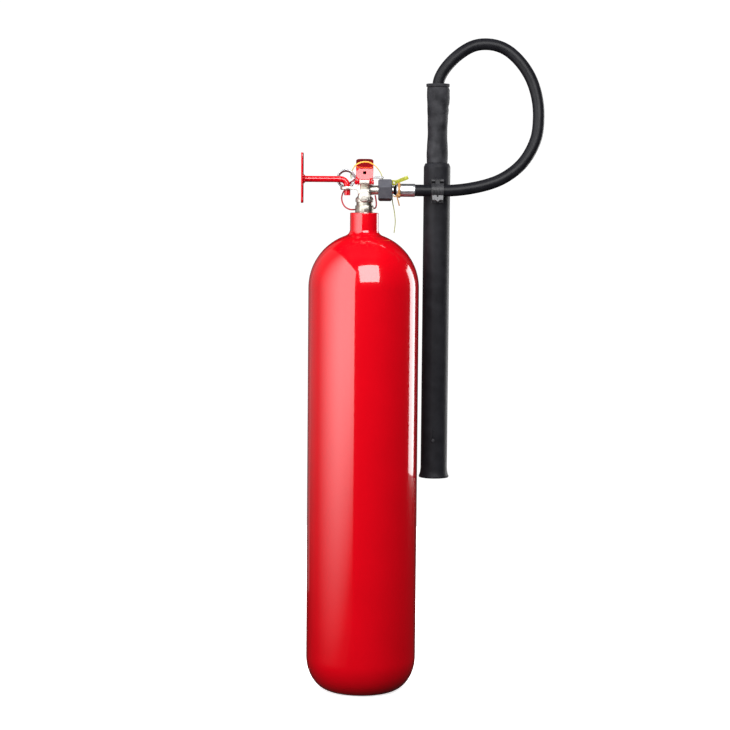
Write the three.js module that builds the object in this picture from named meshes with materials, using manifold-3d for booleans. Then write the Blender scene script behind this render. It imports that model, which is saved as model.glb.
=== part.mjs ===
// A carbon-dioxide fire extinguisher: steel cylinder, squeeze-lever valve, wall hook, hose and
// discharge horn. Millimetres, +Z up, +X towards the hose, -Y towards the front. The origin is
// the centre of the flat base.
import * as THREE from 'three';
import { mergeVertices } from 'three/addons/utils/BufferGeometryUtils.js';
import Module from 'manifold-3d';

const wasm = await Module();
wasm.setup();

// ------------------------------------------------------------------ driving dimensions

const GAP = 0.3; // left between pieces that touch

const CYL = {
  radius: 76, wall: 5.4, height: 663,
  footRadius: 41, footCornerHeight: 47.5, footThickness: 8,
  collarRadius: 19.5, neckBore: 13, shoulderBlend: 9,
};
CYL.shoulderZ = CYL.height - 103; // centre of the round shoulder

const VALVE = {
  shankBottomZ: -23, neckRadius: 12.6, neckTopZ: 10, flangeBottomZ: 14.4, flangeTopZ: 20.4,
  flangeRadius: 12.3, left: -8.9, right: 7.6, front: -9, back: 13, bodyTopZ: 39,
  chamberRadius: 6.3, chamberTopZ: 24, seatBore: 3.1, upperBore: 5.2,
};
const OUTLET = { z: 31, radius: 5.5, threadRadius: 8.5, threadX: 21, endX: 27, bore: 3.5 };
const LUG = { x: -23.6, halfWidth: 8, holeRadius: 4.8, bottomZ: 31, topZ: 36 };
const BURST = { z: 22, bossRadius: 8, bossY: -12.6, bore: 4.7, acrossFlats: 12.4 };
const PIVOT = { y: -12, z: 41.4, earHalfGap: 6.9, earOuter: 8.9, earRadius: 3.6, bore: 2.3 };
const LEVER = {
  frontY: -15.5, farY: 97, frontTopZ: 59.5, slope: 0.138, sheet: 2, holeZ: 54.4, holeRadius: 2.35,
  frontHalfWidth: 11.6, farHalfWidth: 12.3, skirtZ: 45, lean: 2.8, travelDeg: 12,
};
const PIN = { y: 10.5, z: 48.3, wire: 1.25, tipX: 25, slack: 0.45 };
// The pull ring has nearly two turns. Past its first turn the wire steps back and inwards.
const RING = {
  x: -25.4, z: 46.2, radius: 12, fromDeg: 24, toDeg: 675, stepFromDeg: 320, stepToDeg: 378,
  stepBack: 2.75, stepIn: 1.5,
};
const HANDLE = {
  y: VALVE.back + GAP, farY: 106, halfWidth: 7.4, bottomZ: 22, topZ: 38, topSlope: -0.05,
  sheet: 2, screwZ: [28, 35.5],
};
const ROD = { radius: 4.25, z: 45.5, bend: 10, plateX: -84, endZ: 23.5 };
const PLATE = {
  z: 47, thickness: 2.5, halfHeight: 34.25, halfWidth: 20, corner: 4, screwStep: 24, screwBore: 2.6,
};
const NUT = { left: 18.8, right: 37.8, acrossFlats: 27, turn: 45, bore: 8.9, shoulderX: 33.3 };
const NIPPLE = { left: 29.1, flangeRight: 33, right: 45.6, radius: 5.5, bore: 3.5 };
const HOSE = { radius: 8.1, bore: 8.3 };
const FERRULE = { left: 44, right: 69, radius: 9, bore: HOSE.bore };
const HORN = {
  x: 100, y: 28, radius: 18.4, wall: 2, topZ: 68.5, bottomZ: -368, mouthRadius: 20.8,
  capThickness: 5, shoulder: 6,
};
const RIVET_Z = -315;
const GRIP = { bottomZ: HORN.topZ + GAP, topZ: 177.5, bore: 9.8, lipBore: 9, lipZ: 171.5 };
const CLIP = {
  halfWidth: 8.5, z: OUTLET.z, bore: HOSE.bore, outer: 10.2, arm: 5, screwZ: 18,
  hingeY: 2.5, hingeZ: 44.4, hingeBore: 1.3, knuckle: 2.6,
};

// The hose's centreline, from inside the first ferrule to inside the grip, above the neck's top.
const HOSE_ROUTE = [
  [46, 0, 31], [60, 0, 31], [78, 0, 31], [96, 0, 31], [114, 0, 31],
  [131.7, 0.3, 32.4], [148.2, 1.1, 35], [164.7, 2.3, 38.8], [181.2, 3.9, 44.4],
  [197.7, 5.8, 53.4], [214.3, 8, 67.2], [226.7, 10.3, 84.5], [235.7, 12.8, 106.6],
  [238.1, 15.2, 128.7], [237.8, 18, 145.9], [235.3, 20, 161.8], [228.4, 22.2, 183.1],
  [215.4, 24.1, 204.4], [197.3, 25.7, 222], [181.6, 26.9, 229.6], [165, 27.7, 232],
  [148.7, 28, 229.6], [132.7, 28, 220.9], [118, 28, 208.3], [106.6, 28, 193.8],
  [101, 28, 181], [HORN.x, 28, 169], [HORN.x, 28, 155], [HORN.x, 28, 141],
];

const STEEL = { roughness: 0.3, metalness: 1 };
const FINISH = {
  redPaint: { color: 0xd00d18, roughness: 0.18, metalness: 0.1 },
  nickel: { color: 0xd9d2c4, roughness: 0.28, metalness: 1 },
  brass: { color: 0xb9974a, roughness: 0.35, metalness: 1 },
  steel: { color: 0xb8babd, ...STEEL },
  nut: { color: 0x54545e, roughness: 0.4, metalness: 0.8 },
  rubber: { color: 0x232326, roughness: 0.6, metalness: 0 },
  plastic: { color: 0x1d1d20, roughness: 0.45, metalness: 0 },
  foam: { color: 0x3a3a3d, roughness: 0.85, metalness: 0 },
  seal: { color: 0xc4c922, roughness: 0.45, metalness: 0 },
  tie: { color: 0xb9803a, roughness: 0.6, metalness: 0 },
  nylon: { color: 0xe4e2da, roughness: 0.5, metalness: 0 },
};

// ------------------------------------------------------------------ solid helpers

/** A closed geometry as a solid, with its faces turned out. */
function solid(geometry) {
  const bare = geometry.clone();
  bare.deleteAttribute('normal');
  bare.deleteAttribute('uv');
  const merged = mergeVertices(bare, 1e-4);
  const place = merged.attributes.position.array;
  const index = merged.index.array;
  const faces = [];
  let volume = 0;
  const corners = [new THREE.Vector3(), new THREE.Vector3(), new THREE.Vector3()];
  for (let i = 0; i < index.length; i += 3) {
    const [a, b, c] = [index[i], index[i + 1], index[i + 2]];
    if (a === b || b === c || c === a) continue;
    faces.push(a, b, c);
    [a, b, c].forEach((v, k) => corners[k].fromArray(place, v * 3));
    volume += corners[0].dot(corners[1].clone().cross(corners[2]));
  }
  if (volume < 0) faces.reverse();
  return new wasm.Manifold(new wasm.Mesh({
    numProp: 3,
    vertProperties: Float32Array.from(place),
    triVerts: Uint32Array.from(faces),
  }));
}

function join(...solids) {
  return solids.reduce((all, next) => all.add(next));
}

function cut(body, ...tools) {
  return tools.reduce((rest, tool) => rest.subtract(tool), body);
}

/** Turns a [radius, height] profile about a vertical axis at (x, y). */
function turned(profile, segments = 32, x = 0, y = 0) {
  const points = profile.map(([r, z]) => new THREE.Vector2(r, z));
  const geometry = new THREE.LatheGeometry(points, segments);
  return solid(geometry.rotateX(Math.PI / 2).translate(x, y, 0));
}

/** A solid round bar, or a ring where bore is given, from z0 to z1 about a vertical axis. */
function disc(radius, z0, z1, { bore = 0, segments = 20, x = 0, y = 0 } = {}) {
  const profile = [[bore, z0], [radius, z0], [radius, z1], [bore, z1]];
  return turned(bore ? [...profile, [bore, z0]] : profile, segments, x, y);
}

/** The same along X, from x0 to x1, about the axis at (y, z). */
function discX(radius, x0, x1, y, z, options = {}) {
  return disc(radius, x0, x1, options).rotate([0, 90, 0]).translate([0, y, z]);
}

/** The same along Y, from y0 to y1, about the axis at (x, z). */
function discY(radius, y0, y1, x, z, options = {}) {
  return disc(radius, -y1, -y0, options).rotate([90, 0, 0]).translate([x, 0, z]);
}

function block(x0, x1, y0, y1, z0, z1) {
  const geometry = new THREE.BoxGeometry(x1 - x0, y1 - y0, z1 - z0);
  return solid(geometry.translate((x0 + x1) / 2, (y0 + y1) / 2, (z0 + z1) / 2));
}

/** A [y, z] outline extruded along X from x0 to x1. */
function slabX(outline, x0, x1) {
  const shape = new THREE.Shape(outline.map(([y, z]) => new THREE.Vector2(y, z)));
  const geometry = new THREE.ExtrudeGeometry(shape, { depth: x1 - x0, bevelEnabled: false });
  const turn = new THREE.Matrix4().makeBasis(
    new THREE.Vector3(0, 1, 0), new THREE.Vector3(0, 0, 1), new THREE.Vector3(1, 0, 0),
  );
  return solid(geometry.applyMatrix4(turn).translate(x0, 0, 0));
}

/** An [x, y] outline extruded along Z from z0 to z1. */
function slabZ(outline, z0, z1) {
  const shape = new THREE.Shape(outline.map(([x, y]) => new THREE.Vector2(x, y)));
  const geometry = new THREE.ExtrudeGeometry(shape, { depth: z1 - z0, bevelEnabled: false });
  return solid(geometry.translate(0, 0, z0));
}

/** A hexagonal bar along X. */
function hexX(acrossFlats, x0, x1, y, z, turn = 0) {
  const bar = disc(acrossFlats / Math.sqrt(3), x0, x1, { segments: 6 });
  return bar.rotate([0, 0, turn]).rotate([0, 90, 0]).translate([0, y, z]);
}

/** Points on an arc in a plane; angles in degrees, both ends included. */
function arc(cx, cy, radiusX, radiusY, from, to, steps) {
  return Array.from({ length: steps + 1 }, (_, i) => {
    const angle = THREE.MathUtils.degToRad(from + ((to - from) * i) / steps);
    return [cx + radiusX * Math.cos(angle), cy + radiusY * Math.sin(angle)];
  });
}

/** A round bar that follows a smooth curve through the points. */
function bar(points, radius, steps, sides = 8) {
  const curve = new THREE.CatmullRomCurve3(points.map((p) => new THREE.Vector3(...p)));
  const section = new THREE.Shape(
    arc(0, 0, radius, radius, 0, 360 - 360 / sides, sides - 1)
      .map(([x, y]) => new THREE.Vector2(x, y)),
  );
  return solid(new THREE.ExtrudeGeometry(section, { steps, extrudePath: curve }));
}

// ------------------------------------------------------------------ scene graph

const extinguisher = new THREE.Group();

// Everything above the cylinder is drawn in this group, with z = 0 at the neck's top face.
const fittings = new THREE.Group();
fittings.position.z = CYL.height;
extinguisher.add(fittings);

/** Adds a solid to a group as a named mesh. */
function add(name, shape, finish, group = fittings) {
  const mesh = shape.getMesh();
  const geometry = new THREE.BufferGeometry();
  const place = new THREE.BufferAttribute(new Float32Array(mesh.vertProperties), 3);
  geometry.setAttribute('position', place);
  geometry.setIndex(new THREE.BufferAttribute(new Uint32Array(mesh.triVerts), 1));
  const part = new THREE.Mesh(geometry, new THREE.MeshStandardMaterial(FINISH[finish]));
  part.name = name;
  group.add(part);
}

// ------------------------------------------------------------------ cylinder

function buildCylinder() {
  const { radius, wall, height, footRadius, footCornerHeight, collarRadius } = CYL;
  const { neckBore, shoulderBlend, shoulderZ, footThickness } = CYL;
  const blendR = collarRadius + shoulderBlend;
  const blendUp = Math.sqrt((radius + shoulderBlend) ** 2 - blendR ** 2);
  const blendDeg = THREE.MathUtils.radToDeg(Math.atan2(blendUp, blendR));
  const inner = radius - wall;
  const innerDeg = THREE.MathUtils.radToDeg(Math.acos(neckBore / inner));
  const corner = radius - footRadius;
  const outside = [
    [0, 0],
    ...arc(footRadius, footCornerHeight, corner, footCornerHeight, -90, 0, 6),
    ...arc(0, shoulderZ, radius, radius, 0, blendDeg, 7),
    ...arc(blendR, shoulderZ + blendUp, shoulderBlend, shoulderBlend, blendDeg - 180, -180, 3)
      .slice(1),
    [collarRadius, height - 0.8],
    [collarRadius - 0.8, height],
  ];
  const inside = [
    [neckBore + 2, height],
    [neckBore + 2, height - 2.2],
    [neckBore, height - 2.2],
    ...arc(0, shoulderZ, inner, inner, innerDeg, 0, 5),
    ...arc(footRadius, footCornerHeight, corner - wall, footCornerHeight - footThickness, 0, -90, 4),
    [0, footThickness],
  ];
  add('cylinder', turned([...outside, ...inside], 32), 'redPaint', extinguisher);
  const seal = disc(14.7, height - 1.9, height - 0.3, { bore: 12.95 });
  add('neck_seal', seal, 'rubber', extinguisher);
  const tube = disc(6, 14, height - 11.3, { bore: 4.6, segments: 16 });
  add('dip_tube', tube, 'nylon', extinguisher);
}

// ------------------------------------------------------------------ valve

function buildValveBody() {
  const v = VALVE;
  const neck = disc(v.neckRadius, 0.5, v.neckTopZ, { segments: 12 });
  const outside = join(
    disc(v.neckRadius, v.shankBottomZ, 0.6),
    neck.rotate([0, 0, 15]),
    disc(11, v.neckTopZ - 0.1, v.flangeBottomZ + 0.1),
    disc(v.flangeRadius, v.flangeBottomZ, v.flangeTopZ),
    block(v.left, v.right, v.front, v.back, v.flangeTopZ - 0.1, v.bodyTopZ),
    discY(BURST.bossRadius, BURST.bossY, v.front + 0.1, 0, BURST.z),
    block(-6.5, 6.5, -16.4, 6, v.bodyTopZ - 0.1, 44.6),
    disc(6.2, v.bodyTopZ - 0.1, 47),
    slabX([[6, 38.9], [15.4, 38.9], [15.4, 51], [13.5, 52.5], [7.5, 52.5], [6, 51]], -5.5, 5.5),
    discX(OUTLET.radius, v.right - 2, OUTLET.threadX + 0.1, 0, OUTLET.z),
    discX(OUTLET.threadRadius, OUTLET.threadX, OUTLET.endX, 0, OUTLET.z),
    block(LUG.x - 1.4, v.left + 2, -LUG.halfWidth, LUG.halfWidth, LUG.bottomZ, LUG.topZ),
    disc(LUG.halfWidth, LUG.bottomZ, LUG.topZ, { x: LUG.x - 1.4 }),
  );
  const body = cut(
    outside,
    disc(v.chamberRadius, v.shankBottomZ - 1, v.chamberTopZ),
    disc(v.seatBore, v.chamberTopZ - 1, 27.1, { segments: 16 }),
    disc(v.upperBore, 27, 54),
    discX(OUTLET.bore, 0, OUTLET.endX + 1, 0, OUTLET.z, { segments: 16 }),
    discY(BURST.bore, BURST.bossY - 1, -5, 0, BURST.z),
    disc(LUG.holeRadius, LUG.bottomZ - 1, LUG.topZ + 1, { x: LUG.x }),
    discX(PIVOT.bore, -8, 8, PIVOT.y, PIVOT.z, { segments: 16 }),
    discX(PIN.wire + PIN.slack, -7, 7, PIN.y, PIN.z, { segments: 16 }),
    ...HANDLE.screwZ.map((z) => discY(2.2, 8, v.back + 1, 0, z, { segments: 12 })),
  );
  add('valve_body', body, 'nickel');
}

function buildBurstDisc() {
  const y = BURST.bossY - GAP;
  const head = disc(BURST.acrossFlats / Math.sqrt(3), -y, -y + 3.4, { segments: 6 });
  const plug = join(
    head.rotate([90, 0, 0]).translate([0, 0, BURST.z]),
    discY(4.8, y - 4.8, y - 3.3, 0, BURST.z),
    discY(4.4, y - 0.1, -9.2, 0, BURST.z),
  );
  const ventBore = discY(1.6, y - 3.5, -6.5, 0, BURST.z, { segments: 12 });
  add('burst_plug', plug.subtract(ventBore), 'nickel');
  add('burst_washer', discY(4.4, -8.9, -7.9, 0, BURST.z, { bore: 2.6 }), 'steel');
  add('burst_disc', discY(4.4, -7.6, -7.1, 0, BURST.z), 'nickel');
}

function buildValveInside() {
  add('spring_retainer', disc(6, -11, -8, { bore: 3 }), 'brass');
  const spring = { turns: 5, radius: 4.7, wire: 0.8, z: -6.7, length: 21.2, perTurn: 8 };
  const steps = spring.turns * spring.perTurn;
  const helix = Array.from({ length: steps + 1 }, (_, i) => {
    const angle = (i / spring.perTurn) * 2 * Math.PI;
    const height = spring.z + (i / steps) * spring.length;
    return [spring.radius * Math.cos(angle), spring.radius * Math.sin(angle), height];
  });
  add('valve_spring', bar(helix, spring.wire, spring.turns * 9, 5), 'steel');
  const stem = turned([
    [0, 7], [2.4, 7], [2.4, 15.9], [5.7, 15.9], [5.7, 20], [2, 20], [2, 27.5],
    [2.5, 28], [2.5, 57.5], [1.2, 59.3], [0, 59.3],
  ], 20);
  add('valve_stem', stem, 'brass');
  add('stem_seal', disc(5.6, 20.3, 23.6, { bore: 2.3 }), 'nylon');
  add('stem_o_ring', disc(4.9, 38.5, 40.5, { bore: 2.8 }), 'rubber');
  const gland = join(
    disc(4.9, 40.8, 47.4, { bore: 2.8 }),
    disc(6, 47.3, 50, { bore: 2.8 }),
  );
  add('stem_guide', gland, 'brass');
}

// ------------------------------------------------------------------ lever and handle

/** The height of the lever's top face at a distance y behind the valve's axis. */
function rampZ(y) {
  return LEVER.frontTopZ + (y - LEVER.frontY) * LEVER.slope;
}

function leverPlan(inset) {
  const { frontY, farY, frontHalfWidth, farHalfWidth } = LEVER;
  const round = 7 - inset;
  const near = frontHalfWidth - inset;
  const far = farHalfWidth - inset;
  const end = farY - inset;
  const right = arc(far - round, end - round, round, round, 0, 90, 3);
  const left = arc(-far + round, end - round, round, round, 90, 180, 3);
  return [[-near, frontY + inset], [near, frontY + inset], ...right, ...left];
}

function buildLever() {
  const { frontY, farY, sheet, skirtZ, lean } = LEVER;
  const side = [
    [frontY, skirtZ], [20, skirtZ], [34, 51], [80, rampZ(80) - 11], [farY, rampZ(farY) - 9],
    [farY, rampZ(farY)], [frontY + lean, rampZ(frontY + lean)],
  ];
  const inside = frontY + sheet;
  const hollow = [
    [inside, 33], [farY, 33], [farY, rampZ(farY) - sheet],
    [inside + lean, rampZ(inside + lean) - sheet], [inside, skirtZ],
  ];
  const outside = slabX(side, -14, 14).intersect(slabZ(leverPlan(0), 33, 83));
  const cavity = slabX(hollow, -14, 14).intersect(slabZ(leverPlan(sheet), 32, 83));
  const ears = [1, -1].map((s) => {
    const [x0, x1] = [s * PIVOT.earHalfGap, s * PIVOT.earOuter].sort((a, b) => a - b);
    const [w0, w1] = [s * PIVOT.earHalfGap, s * LEVER.frontHalfWidth].sort((a, b) => a - b);
    return join(
      discX(PIVOT.earRadius, x0, x1, PIVOT.y, PIVOT.z),
      block(x0, x1, frontY, -7, PIVOT.z, skirtZ + 1.9),
      block(w0, w1, frontY, -7, skirtZ, skirtZ + 2),
    );
  });
  const pinHole = discX(PIN.wire + 0.8, -15, 15, PIN.y, PIN.z, { segments: 12 });
  const pinSlot = Array.from({ length: 5 }, (_, i) => pinHole
    .translate([0, -PIVOT.y, -PIVOT.z])
    .rotate([(LEVER.travelDeg * i) / 4, 0, 0])
    .translate([0, PIVOT.y, PIVOT.z]));
  const lever = cut(
    join(outside.subtract(cavity), ...ears),
    discX(PIVOT.bore, -10, 10, PIVOT.y, PIVOT.z, { segments: 16 }),
    discY(LEVER.holeRadius, frontY - 1, frontY + 6, 0, LEVER.holeZ, { segments: 16 }),
    join(...pinSlot),
  );
  add('operating_lever', lever, 'redPaint');
}

function buildPivot() {
  const boltHead = discX(3.2, 9.3, 12.8, PIVOT.y, PIVOT.z).subtract(
    discX(1.6, 11, 14, PIVOT.y, PIVOT.z, { segments: 6 }),
  );
  const shank = discX(2, -13.6, 9.4, PIVOT.y, PIVOT.z, { segments: 16 });
  add('lever_pivot_bolt', join(boltHead, shank), 'steel');
  const nut = hexX(6.2, -13, -9.3, PIVOT.y, PIVOT.z);
  add('lever_pivot_nut', cut(nut, discX(2.3, -14, -9, PIVOT.y, PIVOT.z)), 'redPaint');
}

function buildCarryHandle() {
  const { y, farY, halfWidth, bottomZ, topZ, topSlope, sheet, screwZ } = HANDLE;
  const top = (at) => topZ + (at - y) * topSlope;
  const bottom = [
    [y, bottomZ], [40, bottomZ - 2], [farY - 12, bottomZ - 5], [farY, bottomZ - 3],
  ];
  const outline = [...bottom, [farY, top(farY) - 4], [farY - 5, top(farY)], [y, top(y)]];
  const shell = bottom.map(([at, z]) => [at, z + sheet]);
  shell[0][0] += sheet;
  shell[3][0] -= sheet;
  const hollow = [...shell, [farY - sheet, 43], [y + sheet, 43]];
  const channel = slabX(outline, -halfWidth, halfWidth)
    .subtract(slabX(hollow, -halfWidth + sheet, halfWidth - sheet));
  const screwHoles = screwZ.map((z) => discY(2.4, y - 1, y + 4, 0, z, { segments: 12 }));
  add('carry_handle', cut(channel, ...screwHoles), 'redPaint');
  ['handle_screw_lower', 'handle_screw_upper'].forEach((name, i) => {
    const z = screwZ[i];
    const head = discY(3.3, y + sheet + GAP, y + sheet + 2.5, 0, z, { segments: 16 });
    const shank = discY(1.9, y - 4.5, y + sheet + 0.5, 0, z, { segments: 12 });
    add(name, join(head, shank), 'steel');
  });
}

// ------------------------------------------------------------------ safety pin and seal

function buildSafetyPin() {
  const { y, z, tipX, wire } = PIN;
  const steps = 32;
  const loop = Array.from({ length: steps + 1 }, (_, i) => {
    const degrees = RING.fromDeg + ((RING.toDeg - RING.fromDeg) * i) / steps;
    const angle = THREE.MathUtils.degToRad(degrees);
    const step = THREE.MathUtils.smoothstep(degrees, RING.stepFromDeg, RING.stepToDeg);
    const radius = RING.radius - RING.stepIn * step;
    const x = RING.x + radius * Math.cos(angle);
    return [x, y + RING.stepBack * step, RING.z + radius * Math.sin(angle)];
  });
  const straight = [tipX, 15, 5, -3, -9].map((x) => [x, y, z]);
  const elbow = [[-11.7, y, 48.5], [-13.4, y, 49.7]];
  const pin = bar([...straight, ...elbow, ...loop], wire, 84, 6);
  add('safety_pin', pin, 'steel');
}

function buildSeal() {
  const strand = [
    [-18.4, 12, 47], [-19, 15.2, 50.4], [-17.8, 16.6, 56], [-13.4, 16.6, 63.8],
    [-6.4, 16.6, 68.2], [1, 16.6, 69.4], [7.8, 16.6, 68.3], [14.8, 16.6, 63.8],
    [20.6, 15.6, 57], [23.6, 14.2, 51], [24.8, 13.8, 45.8], [26.8, 15.8, 43],
    [31, 18.2, 41.6], [36.8, 18.6, 41.4],
  ];
  add('seal_strand', bar(strand, 0.7, 30, 6), 'seal');
  const flag = block(0, 20, -1, 1, -2.7, 2.7).rotate([0, -22, 0]);
  const head = block(-4, 2.5, -2.4, 2.4, -3.6, 3.6);
  add('seal_flag', join(flag, head).translate([41.5, 18.6, 41.5]), 'seal');
  const tail = [
    [39.5, 18.6, 37.4], [38.6, 18.2, 27], [38.4, 17.4, 18], [41, 16, 4], [42.8, 14, -12.5],
    [41.2, 12, -27.5],
  ];
  add('seal_tail', bar(tail, 0.6, 14, 6), 'seal');
}

function buildLanyard() {
  const cord = [
    [-19.2, 12.3, 41.8], [-19.8, 15.4, 40.8], [-20.5, 16.6, 38.4], [-22.6, 17, 35.8],
    [-26.4, 16.2, 31.8],
    [-29.6, 13.4, 26.6], [-31.2, 8.8, 19.8], [-29.6, 4.5, 12.4], [-25.7, 2.5, 7.2],
    [-19.4, 3, 4.2], [-14.4, 6.4, 4], [-9.6, 11.8, 4.4], [-2, 15, 5], [6.4, 13.6, 5.4],
    [12.8, 8.6, 5.8], [15.8, 2, 7.8], [16.4, -1, 13], [15.6, -1.5, 19], [14.8, -1, 23.6],
  ];
  add('pin_lanyard', bar(cord, 1.1, 38, 6), 'redPaint');
}

// ------------------------------------------------------------------ wall hook

function buildWallHook() {
  const { radius, z, bend, plateX, endZ } = ROD;
  const bendX = LUG.x - bend;
  const curve = arc(bendX, z - bend, bend, bend, 90, 0, 6).map(([x, height]) => [x, 0, height]);
  const straight = [plateX + GAP, -70, -58, -46, -38].map((x) => [x, 0, z]);
  const rod = bar([...straight, ...curve, [LUG.x, 0, 30], [LUG.x, 0, endZ]], radius, 22, 10);
  add('hook_rod', rod, 'redPaint');
  const { thickness, halfHeight, halfWidth, corner, screwStep, screwBore } = PLATE;
  const outline = [[1, 1, 0], [-1, 1, 90], [-1, -1, 180], [1, -1, 270]].flatMap(
    ([sy, sz, from]) => arc(
      sy * (halfWidth - corner), PLATE.z + sz * (halfHeight - corner), corner, corner,
      from, from + 90, 3,
    ),
  );
  const holes = [PLATE.z - screwStep, PLATE.z + screwStep].map(
    (at) => discX(screwBore, plateX - 5, plateX + 2, 0, at, { segments: 16 }),
  );
  add('hook_plate', cut(slabX(outline, plateX - thickness, plateX), ...holes), 'redPaint');
}

// ------------------------------------------------------------------ hose and its fittings

function buildOutletFittings() {
  const { z } = OUTLET;
  const nut = hexX(NUT.acrossFlats, NUT.left, NUT.right, 0, z, NUT.turn)
    .intersect(discX(15, NUT.left, NUT.right, 0, z, { segments: 36 }));
  add('union_nut', cut(
    nut,
    discX(NUT.bore, NUT.left - 1, NUT.shoulderX, 0, z),
    discX(NIPPLE.radius + 0.4, NUT.left - 1, NUT.right + 1, 0, z),
  ), 'nut');
  add('outlet_washer', discX(8.4, OUTLET.endX + GAP, 28.8, 0, z, { bore: 3.6 }), 'nylon');
  const nipple = join(
    discX(8.5, NIPPLE.left, NIPPLE.flangeRight, 0, z),
    discX(NIPPLE.radius, NIPPLE.left, NIPPLE.right, 0, z),
  );
  add('hose_nipple', cut(nipple, discX(NIPPLE.bore, 28, 47, 0, z, { segments: 16 })), 'nickel');
  add('hose_ferrule', cut(
    discX(FERRULE.radius, FERRULE.left, FERRULE.right, 0, z),
    discX(NIPPLE.radius + 0.3, FERRULE.left - 1, FERRULE.left + 2, 0, z),
    discX(FERRULE.bore, FERRULE.left + 1.5, FERRULE.right + 1, 0, z),
  ), 'steel');
}

function buildTagTie() {
  const ring = discX(10.3, 45.6, 49, 0, OUTLET.z, { bore: FERRULE.radius + GAP });
  const knot = block(43.5, 48.5, -11.6, -8.2, 22.5, 26);
  const end = [[44.6, -10.5, 24], [45, -10.8, 20], [46.4, -10.6, 15.5], [47.6, -10.2, 10.5]];
  add('tag_tie', join(ring, knot, bar(end, 0.9, 10)), 'tie');
}

function buildHose() {
  add('hose', bar(HOSE_ROUTE, HOSE.radius, 44, 8), 'rubber');
}

// ------------------------------------------------------------------ horn and grip

function buildHorn() {
  const { x, y, radius, wall, topZ, bottomZ, mouthRadius, capThickness, shoulder } = HORN;
  const inner = radius - wall;
  const shell = turned([
    [5.7, topZ], [radius - 1.8, topZ], [radius, topZ - shoulder], [radius, bottomZ + 14],
    [radius + 0.8, bottomZ + 6], [mouthRadius - 0.4, bottomZ + 2], [mouthRadius, bottomZ],
    [mouthRadius - wall, bottomZ], [inner + 0.8, bottomZ + 7], [inner, bottomZ + 14],
    [inner, topZ - shoulder - capThickness], [5.7, topZ - shoulder - capThickness], [5.7, topZ],
  ], 28, x, y);
  const rivetHole = discY(1.5, y - radius - 2, y - inner + 2, x - 2, RIVET_Z, { segments: 12 });
  add('horn', shell.subtract(rivetHole), 'plastic');
  const rivet = join(
    discY(2.1, y - radius - 1.2, y - radius - GAP, x - 2, RIVET_Z, { segments: 12 }),
    discY(1.1, y - radius - 0.4, y - inner + 1.2, x - 2, RIVET_Z, { segments: 12 }),
  );
  add('horn_rivet', rivet, 'steel');
  const nozzle = turned([
    [4.3, 45], [6.8, 45], [8, 49], [8, 57], [4.3, 57], [4.3, 45],
  ], 20, x, y);
  add('nozzle', nozzle, 'brass');
}

function buildGrip() {
  const { x, y } = HORN;
  const { bottomZ, topZ, bore, lipBore, lipZ } = GRIP;
  const grip = turned([
    [bore, bottomZ], [13.9, bottomZ], [14.3, 91], [13.5, 107], [13.8, 125], [14.4, 143],
    [15.2, 161], [15.2, 173], [16.1, 174.5], [16.1, topZ], [lipBore, topZ], [lipBore, lipZ],
    [bore, lipZ], [bore, bottomZ],
  ], 24, x, y);
  add('grip', grip, 'foam');
  const tube = disc(5.4, 57.5, 140.5, { bore: 4, x, y, segments: 20 });
  add('discharge_tube', tube, 'steel');
  const ferrule = join(
    disc(9.3, 128, 165, { bore: HOSE.bore, x, y }),
    disc(9.3, 126, 128.1, { bore: 5.7, x, y }),
  );
  add('grip_ferrule', ferrule, 'steel');
  const lockNut = disc(9.2, HORN.topZ + 0.8, HORN.topZ + 7, { segments: 6, x, y });
  add('horn_lock_nut', cut(lockNut, disc(5.7, HORN.topZ, HORN.topZ + 9, { x, y })), 'brass');
}

// ------------------------------------------------------------------ hose clip on the horn

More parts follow.
